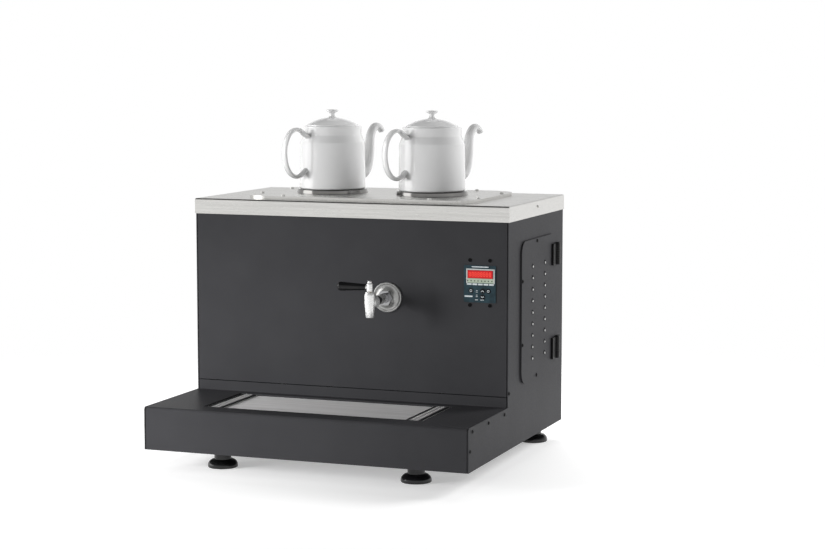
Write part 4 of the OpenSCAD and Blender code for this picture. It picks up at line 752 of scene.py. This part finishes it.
def pot_lid(rim):
    """Lid: a plate in the gallery, a dome, a spool knob and a skirt."""
    dome_h = LID_RISE - LID_EDGE
    dome_r = (LID_R ** 2 + dome_h ** 2) / (2 * dome_h)
    edge = math.degrees(math.asin(LID_R / dome_r))
    stem = math.degrees(math.asin((STEM_R + 3) / dome_r))
    top = LID_RISE + KNOB_H
    skirt_r = MOUTH_R - 0.4
    knob_edge = 1.6
    outline = [(0, -GALLERY_H), (skirt_r - SKIRT_T, -GALLERY_H), (skirt_r - SKIRT_T, -GALLERY_H - SKIRT_H),
               (skirt_r, -GALLERY_H - SKIRT_H), (skirt_r, -GALLERY_H), (LID_R, -GALLERY_H)]
    outline += bow((0, LID_RISE - dome_r), dome_r, 90 - edge, 90 - stem, 16)
    outline += bow((STEM_R + 3, LID_RISE + 3.4), 3, 250, 180, 6)
    outline += [(STEM_R, LID_RISE + KNOB_H / 2 - 1), (STEM_R + 0.8, LID_RISE + KNOB_H / 2 + 1),
                (KNOB_R - knob_edge - 1, top - 3 * knob_edge - 0.6)]
    outline += bow((KNOB_R - knob_edge, top - knob_edge - 1), knob_edge, -60, 80)
    outline += [(KNOB_R * 0.5, top - 0.3), (0, top)]
    lid = turned("pot_lid_left_porcelain", outline, rim, steps=96)
    smooth(lid, 40)
    return lid


def set_teapots():
    left = pot_axis("left")
    pitch = pot_axis("right") - left
    pot = teapot(left)
    lid = pot_lid(left + UP * POT_RIM_H * MM)
    stand_for(copied(pot, "pot_right_porcelain", pitch), "pot_right")
    stand_for(copied(lid, "pot_lid_right_porcelain", pitch), "pot_lid_right")
    stand_for(pot, "pot_left")
    stand_for(lid, "pot_lid_left")


# Pot seats: spun collars with a rolled upper edge, their steel painted dark for shade and dark reflection

def set_seats():
    low, high = (Vector(c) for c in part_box("seat_left"))
    r = (high.x - low.x) / 2 / MM
    depth = (high.z - low.z) / MM
    seat_h = 7
    bore_r = 44
    wall = 1.5
    taper = 1
    foot = pot_axis("left") - UP * seat_h * MM
    outline = [(bore_r, seat_h - depth), (bore_r, seat_h)]
    outline += bow((r - taper - 2, seat_h - 2), 2, 90, 0)
    outline += [(r, 0), (r - wall, 0), (r - taper - wall, seat_h - wall), (bore_r + wall, seat_h - wall),
                (bore_r + wall, seat_h - depth), (bore_r, seat_h - depth)]
    seat = turned("seat_left_spun", outline, foot, steps=128)
    smooth(seat, 40)
    stand_for(copied(seat, "seat_right_spun", pot_axis("right") - pot_axis("left")), "seat_right")
    stand_for(seat, "seat_left")


# Feet: a moulded bell on a stud

def set_feet():
    nodes = ["foot_front_left", "foot_front_right", "foot_rear_left", "foot_rear_right"]
    low, high = (Vector(c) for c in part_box(nodes[0]))
    pad_r = (high.x - low.x) / 2 / MM
    foot_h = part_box("base_pan")[0][2] / MM
    top = high.z / MM
    neck_r = 14
    stud_r = 5
    pad_edge_h = 3
    bell_h = 10.5
    bell = [(neck_r + (pad_r - neck_r) * math.cos(a), pad_edge_h + bell_h * math.sin(a))
            for a in (math.radians(6 * i) for i in range(16))]
    outline = [(0, 0), (pad_r - 1.5, 0), (pad_r - 0.4, 0.5), (pad_r, 1.6)] + bell
    outline += [(neck_r, foot_h - 0.6), (neck_r - 0.6, foot_h), (stud_r, foot_h), (stud_r, top - 0.8),
                (stud_r - 0.8, top), (0, top)]
    base = Vector((middle(nodes[0]).x, middle(nodes[0]).y, 0))
    first = turned(nodes[0] + "_moulded", outline, base, steps=72)
    smooth(first, 40)
    for node in nodes[1:]:
        shift = middle(node) - middle(nodes[0])
        stand_for(copied(first, node + "_moulded", shift), node)
    stand_for(first, nodes[0])


# Tap

def set_tap():
    low, high = (Vector(c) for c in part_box("lever_hub"))
    axis = Vector((high.x - 5 * MM, (low.y + high.y) / 2, 0))
    body_low, body_high = (Vector(c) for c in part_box("tap_body"))
    tap_z = middle("tap_shank").z / MM
    bottom = body_low.z / MM
    top = body_high.z / MM
    r = 8.7
    way_r = 4.5
    plug_r = 5.25
    plug_foot = tap_z - 13
    shank_r = 8.05
    boss_r = 10
    boss_d = 20
    outline = [(way_r, bottom + 0.4), (5.2, bottom), (5.9, bottom), (6.5, bottom + 0.7),
               (r - 0.05, tap_z - 1), (r, tap_z), (r, top - 5.4), (r - 0.25, top - 4.6),
               (r - 1.6, top - 0.5), (r - 2, top), (plug_r, top), (plug_r, plug_foot),
               (way_r, plug_foot), (way_r, bottom + 0.4)]
    body = turned("tap_body_plated", outline, axis, steps=72)
    back = Vector((axis.x, axis.y, tap_z * MM))
    boss = turned("boss", [(0, 0), (boss_r - 0.6, 0), (boss_r, 0.8), (boss_r, boss_d - 0.6),
                           (boss_r - 0.6, boss_d), (0, boss_d)], back, axis=(0, 1, 0), steps=64)
    plug_way = turned("plug_way", [(0, bottom - 1), (way_r, bottom - 1), (way_r, plug_foot),
                                   (plug_r, plug_foot), (plug_r, top + 1), (0, top + 1)], axis, steps=48)
    combine(boss, plug_way, "DIFFERENCE")
    combine(body, boss, "UNION")
    socket = turned("socket", [(0, 10), (shank_r, 10), (shank_r, boss_d + 1), (0, boss_d + 1)], back,
                    axis=(0, 1, 0), steps=48)
    combine(body, socket, "DIFFERENCE")
    smooth(body, 40)
    stand_for(body, "tap_body")

    hub_z = low.z / MM
    hub = turned("lever_hub_plated", [(3.05, hub_z + 0.3), (3.4, hub_z), (4.5, hub_z), (5, hub_z + 0.5),
                                      (5, hub_z + 12), (4.8, hub_z + 12.6), (3.6, hub_z + 14)]
                 + bow((1.6, hub_z + 15.4), 2, 0, 90) + [(0, hub_z + 17.4)], axis, steps=64)
    smooth(hub, 40)
    arm = Vector((axis.x, axis.y, (hub_z + 7) * MM))
    neck = turned("neck", [(0, 3), (3.4, 3), (3.4, 6.6), (3, 7), (0, 7)], arm, axis=(-1, 0, 0), steps=32)
    smooth(neck, 40)
    stand_for(joined([hub, neck], "lever_hub_plated"), "lever_hub")

    grip_low = Vector(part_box("lever_grip")[0])
    reach = (axis.x - grip_low.x) / MM
    grip = turned("lever_grip_moulded", [(0, 7), (4, 7), (4.7, 7.3), (5, 8)]
                  + [(5 + 2.5 * t, 8 + (reach - 13) * t) for t in (0.25, 0.5, 0.75)]
                  + bow((2.5, reach - 5), 5, 0, 90, 10) + [(0, reach)], arm, axis=(-1, 0, 0), steps=64)
    smooth(grip, 40)
    stand_for(grip, "lever_grip")

    wall_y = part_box("tap_flange")[1][1]
    flange_r = (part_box("tap_flange")[1][0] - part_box("tap_flange")[0][0]) / 2 / MM
    wall = Vector((axis.x, wall_y, tap_z * MM))
    flange_t = 8
    outline = [(shank_r, 0), (flange_r, 0)] + bow((flange_r - 1.5, 2.8), 1.5, 0, 150)
    outline += [(flange_r - 4.5, 2.4), (flange_r - 6, 2.6), (14.6, 4.6), (13.8, 5.4), (13, 7.6),
                (12.6, flange_t), (shank_r, flange_t), (shank_r, 0)]
    flange = turned("tap_flange_turned", outline, wall, axis=(0, -1, 0), steps=96)
    smooth(flange, 40)
    dress(flange, SLOT_OF["tap_flange"], NODES["tap_flange"]["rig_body"], faced, ("tap_flange",))


# Controller prints, display and keys

control = middle("control_fascia")
fascia_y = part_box("control_fascia")[0][1]


def plate(name, box, y, depth, rounding):
    """A thin plate in front of y, over a box of (x0, z0, x1, z1) round the controller's middle."""
    x0, z0, x1, z1 = (v * MM for v in box)
    piece = block(name, (control.x + x0, y - depth * MM, control.z + z0),
                  (control.x + x1, y, control.z + z1))
    edit(piece)
    choose(piece, "EDGE", lambda e: abs(e.verts[0].co.y - e.verts[1].co.y) > depth * MM / 2)
    bpy.ops.mesh.bevel(offset=rounding * MM, segments=3, affect="EDGES")
    choose(piece, "FACE", lambda f: f.normal.y < -0.9)
    bpy.ops.mesh.inset(thickness=min(rounding, depth) * 0.4 * MM, depth=0)
    done()
    return piece


def tilted(piece, mid, angle):
    """Turn a plate in its own plane about a point round the controller's middle."""
    edit(piece)
    bpy.ops.mesh.select_all(action="SELECT")
    centre = (control.x + mid[0] * MM, fascia_y, control.z + mid[1] * MM)
    bpy.ops.transform.rotate(value=math.radians(angle), orient_axis="Y", center_override=centre)
    done()
    return piece


def annulus(name, mid, r, width, y, depth):
    """A printed ring with its middle at a place round the controller's middle."""
    centre = Vector((control.x + mid[0] * MM, y, control.z + mid[1] * MM))
    return turned(name, [(r - width, 0), (r, 0), (r, depth), (r - width, depth), (r - width, 0)],
                  centre, axis=(0, -1, 0), steps=40)


def chevron(name, mid, up, y):
    """Two printed arms that meet in a point, upward or downward."""
    half_l = 1.9
    half_w = 0.55
    arms = []
    for s in (-1, 1):
        x, z = mid[0] + s, mid[1]
        arm = plate(name, (x - half_l, z - half_w, x + half_l, z + half_w), y, PRINT_T, 0.15)
        arms.append(tilted(arm, (x, z), -s * up * 42))
    return joined(arms, name)


def set_controller():
    slot = "fascia_film"
    x0, z0, x1, z1 = FRAME_BOX
    rim = FRAME_RIM
    rails = [plate("rail", box, fascia_y, PRINT_T * 2, 0.2) for box in (
        (x0, z1 - rim, x1, z1), (x0, z0, x0 + rim, z1 - rim), (x1 - rim, z0, x1, z1 - rim))]
    dress(joined(rails, "display_frame_print"), slot, "casing", silver_ink)
    dress(plate("lamp_band_print", LAMP_BAND, fascia_y, PRINT_T, 0.2), slot, "casing", band_ink)
    dress(plate("head_strip_print", HEAD_STRIP, fascia_y, PRINT_T, 0.4), slot, "casing", white_ink)
    dress(plate("menu_strip_print", MENU_STRIP, fascia_y, PRINT_T, 0.4), slot, "casing", white_ink)
    dashes = [plate("dash", (x - 4, -1.9, x + 4, 0.8), fascia_y, PRINT_T, 0.3) for x in DASHES]
    dress(joined(dashes, "lower_rail_print"), slot, "casing", white_ink)
    marks = [plate("mark", box, fascia_y, PRINT_T, 0.2) for box in SMALL_MARKS]
    dress(joined(marks, "small_marks_print"), slot, "casing", white_ink)

    lamps = shaped("indicator_lamps", 0.15)
    edit(lamps)
    choose(lamps, "FACE", lambda f: f.normal.y < -0.9)
    lamp_y = fascia_y - 2.5 * PRINT_T * MM
    bpy.ops.transform.translate(value=(0, lamp_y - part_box("indicator_lamps")[0][1], 0))
    done()
    dress(lamps, SLOT_OF["indicator_lamps"], "casing", lens, ("indicator_lamps",))

    low, high = (Vector(c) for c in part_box("display_window"))
    bars = []
    z = ((low.z + high.z) / 2 - control.z) / MM
    for i in range(DIGIT_COUNT):
        x = ((low.x + high.x) / 2 - control.x) / MM + (i - (DIGIT_COUNT - 1) / 2) * DIGIT_STEP
        for s in (-1, 0, 1):
            bars.append((x - DIGIT_W / 2, z + s * DIGIT_H / 2 - DIGIT_BAR / 2,
                         x + DIGIT_W / 2, z + s * DIGIT_H / 2 + DIGIT_BAR / 2))
        for s in (-1, 1):
            side = x + s * DIGIT_W / 2
            for t in (-1, 1):
                half = z + t * DIGIT_H / 4
                bars.append((side - DIGIT_BAR / 2, half - DIGIT_H / 4 + DIGIT_BAR,
                             side + DIGIT_BAR / 2, half + DIGIT_H / 4 - DIGIT_BAR))
    segments = [plate("bar", box, low.y, PRINT_T, 0.15) for box in bars]
    dress(joined(segments, "display_digits"), "display_red", "casing", digit)

    for name, mid in KEYS.items():
        node = "button_" + name
        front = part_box(node)[0][1]
        base = Vector((control.x + mid[0] * MM, front, control.z + mid[1] * MM))
        deep = (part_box(node)[1][1] - front) / MM
        cap_deep = deep - 2
        outline = [(0, KEY_DISH), (2.6, 0.3), (3.4, 0.1), (KEY_R - 0.25, 0.15), (KEY_R, 0.5),
                   (KEY_R, cap_deep), (KEY_STEM_R, cap_deep), (KEY_STEM_R, deep), (0, deep)]
        cap = turned(node + "_key", outline, base, axis=(0, 1, 0), steps=48)
        smooth(cap, 40)
        stand_for(cap, node)
        face = front + KEY_DISH * MM
        if name in ("up", "down"):
            mark = chevron(node + "_mark", mid, 1 if name == "up" else -1, face)
        else:
            mark = annulus(node + "_mark", mid, 2.1, 0.7, face, PRINT_T)
        dress(mark, "button_navy", node, white_ink)


# Table, surround, lights and camera

def set_stage():
    """White light table that fades into a white surround, dark overhead, and the softboxes."""
    bpy.ops.object.select_all(action="DESELECT")
    bpy.ops.mesh.primitive_plane_add(size=6, location=(0, 0, -0.2 * MM))
    floor = bpy.context.object
    floor.name = "floor"
    table = finish("light_table", ("#e4e4e4", "#e8e8e8"), (0.8, 0.9), 900, 40, 0.01,
                   specular_ior_level=0, emission_color=(1, 1, 1, 1), emission_strength=TABLE_GLOW)
    tree = table.node_tree
    reach = add(tree, "VectorMath", {0: add(tree, "TexCoord").outputs["Object"]}, operation="LENGTH")
    fade = add(tree, "MapRange", {"Value": reach.outputs["Value"], "From Min": TABLE_FADE[0],
                                  "From Max": TABLE_FADE[1]}, interpolation_type="SMOOTHSTEP")
    blend = add(tree, "MixShader", {0: fade.outputs[0], 1: tree.nodes["Principled BSDF"].outputs[0],
                                    2: add(tree, "BsdfTransparent").outputs[0]})
    tree.links.new(blend.outputs[0], tree.nodes["Material Output"].inputs["Surface"])
    floor.data.materials.append(table)

    world = bpy.data.worlds.new("studio")
    bpy.context.scene.world = world
    world.use_nodes = True
    tree = world.node_tree
    tree.nodes.clear()
    way = add(tree, "SeparateXYZ", {"Vector": add(tree, "TexCoord").outputs["Generated"]})
    above = add(tree, "MapRange", {"Value": way.outputs["Z"], "From Min": 0.2, "From Max": 0.6,
                                   "To Min": 1.0, "To Max": OVERHEAD}, interpolation_type="SMOOTHSTEP")
    ahead = add(tree, "MapRange", {"Value": way.outputs["Y"], "From Min": -0.9, "From Max": -0.2,
                                   "To Min": BEHIND_CAMERA, "To Max": 1.0}, interpolation_type="SMOOTHSTEP")
    level = add(tree, "Math", {0: above.outputs[0], 1: ahead.outputs[0]}, operation="MULTIPLY")
    sky = add(tree, "Background", {"Color": (1, 1, 1, 1), "Strength": level.outputs[0]})
    add(tree, "OutputWorld", {"Surface": sky.outputs[0]})

    for name, place, aim, power, size, spread in SOFTBOXES:
        turn = (Vector(aim) - Vector(place)).to_track_quat("-Z", "Y").to_euler()
        bpy.ops.object.light_add(type="AREA", location=place, rotation=turn)
        lamp = bpy.context.object
        lamp.name = name
        lamp.data.energy = power
        lamp.data.size = size
        lamp.data.spread = math.radians(spread)
        lamp.visible_glossy = name == SHOWN_SOFTBOX


def set_camera():
    bpy.ops.object.camera_add(location=EYE, rotation=(math.pi / 2 - VIEW_RISE, 0, VIEW_TURN))
    camera = bpy.context.object
    camera.data.lens = LENS
    camera.data.sensor_width = SENSOR
    bpy.context.scene.camera = camera


set_camera()
dress_casing()
set_teapots()
set_seats()
set_feet()
set_tap()
set_vents()
set_grate_ends()
set_controller()
set_stage()
bpy.context.scene.view_settings.view_transform = "Standard"
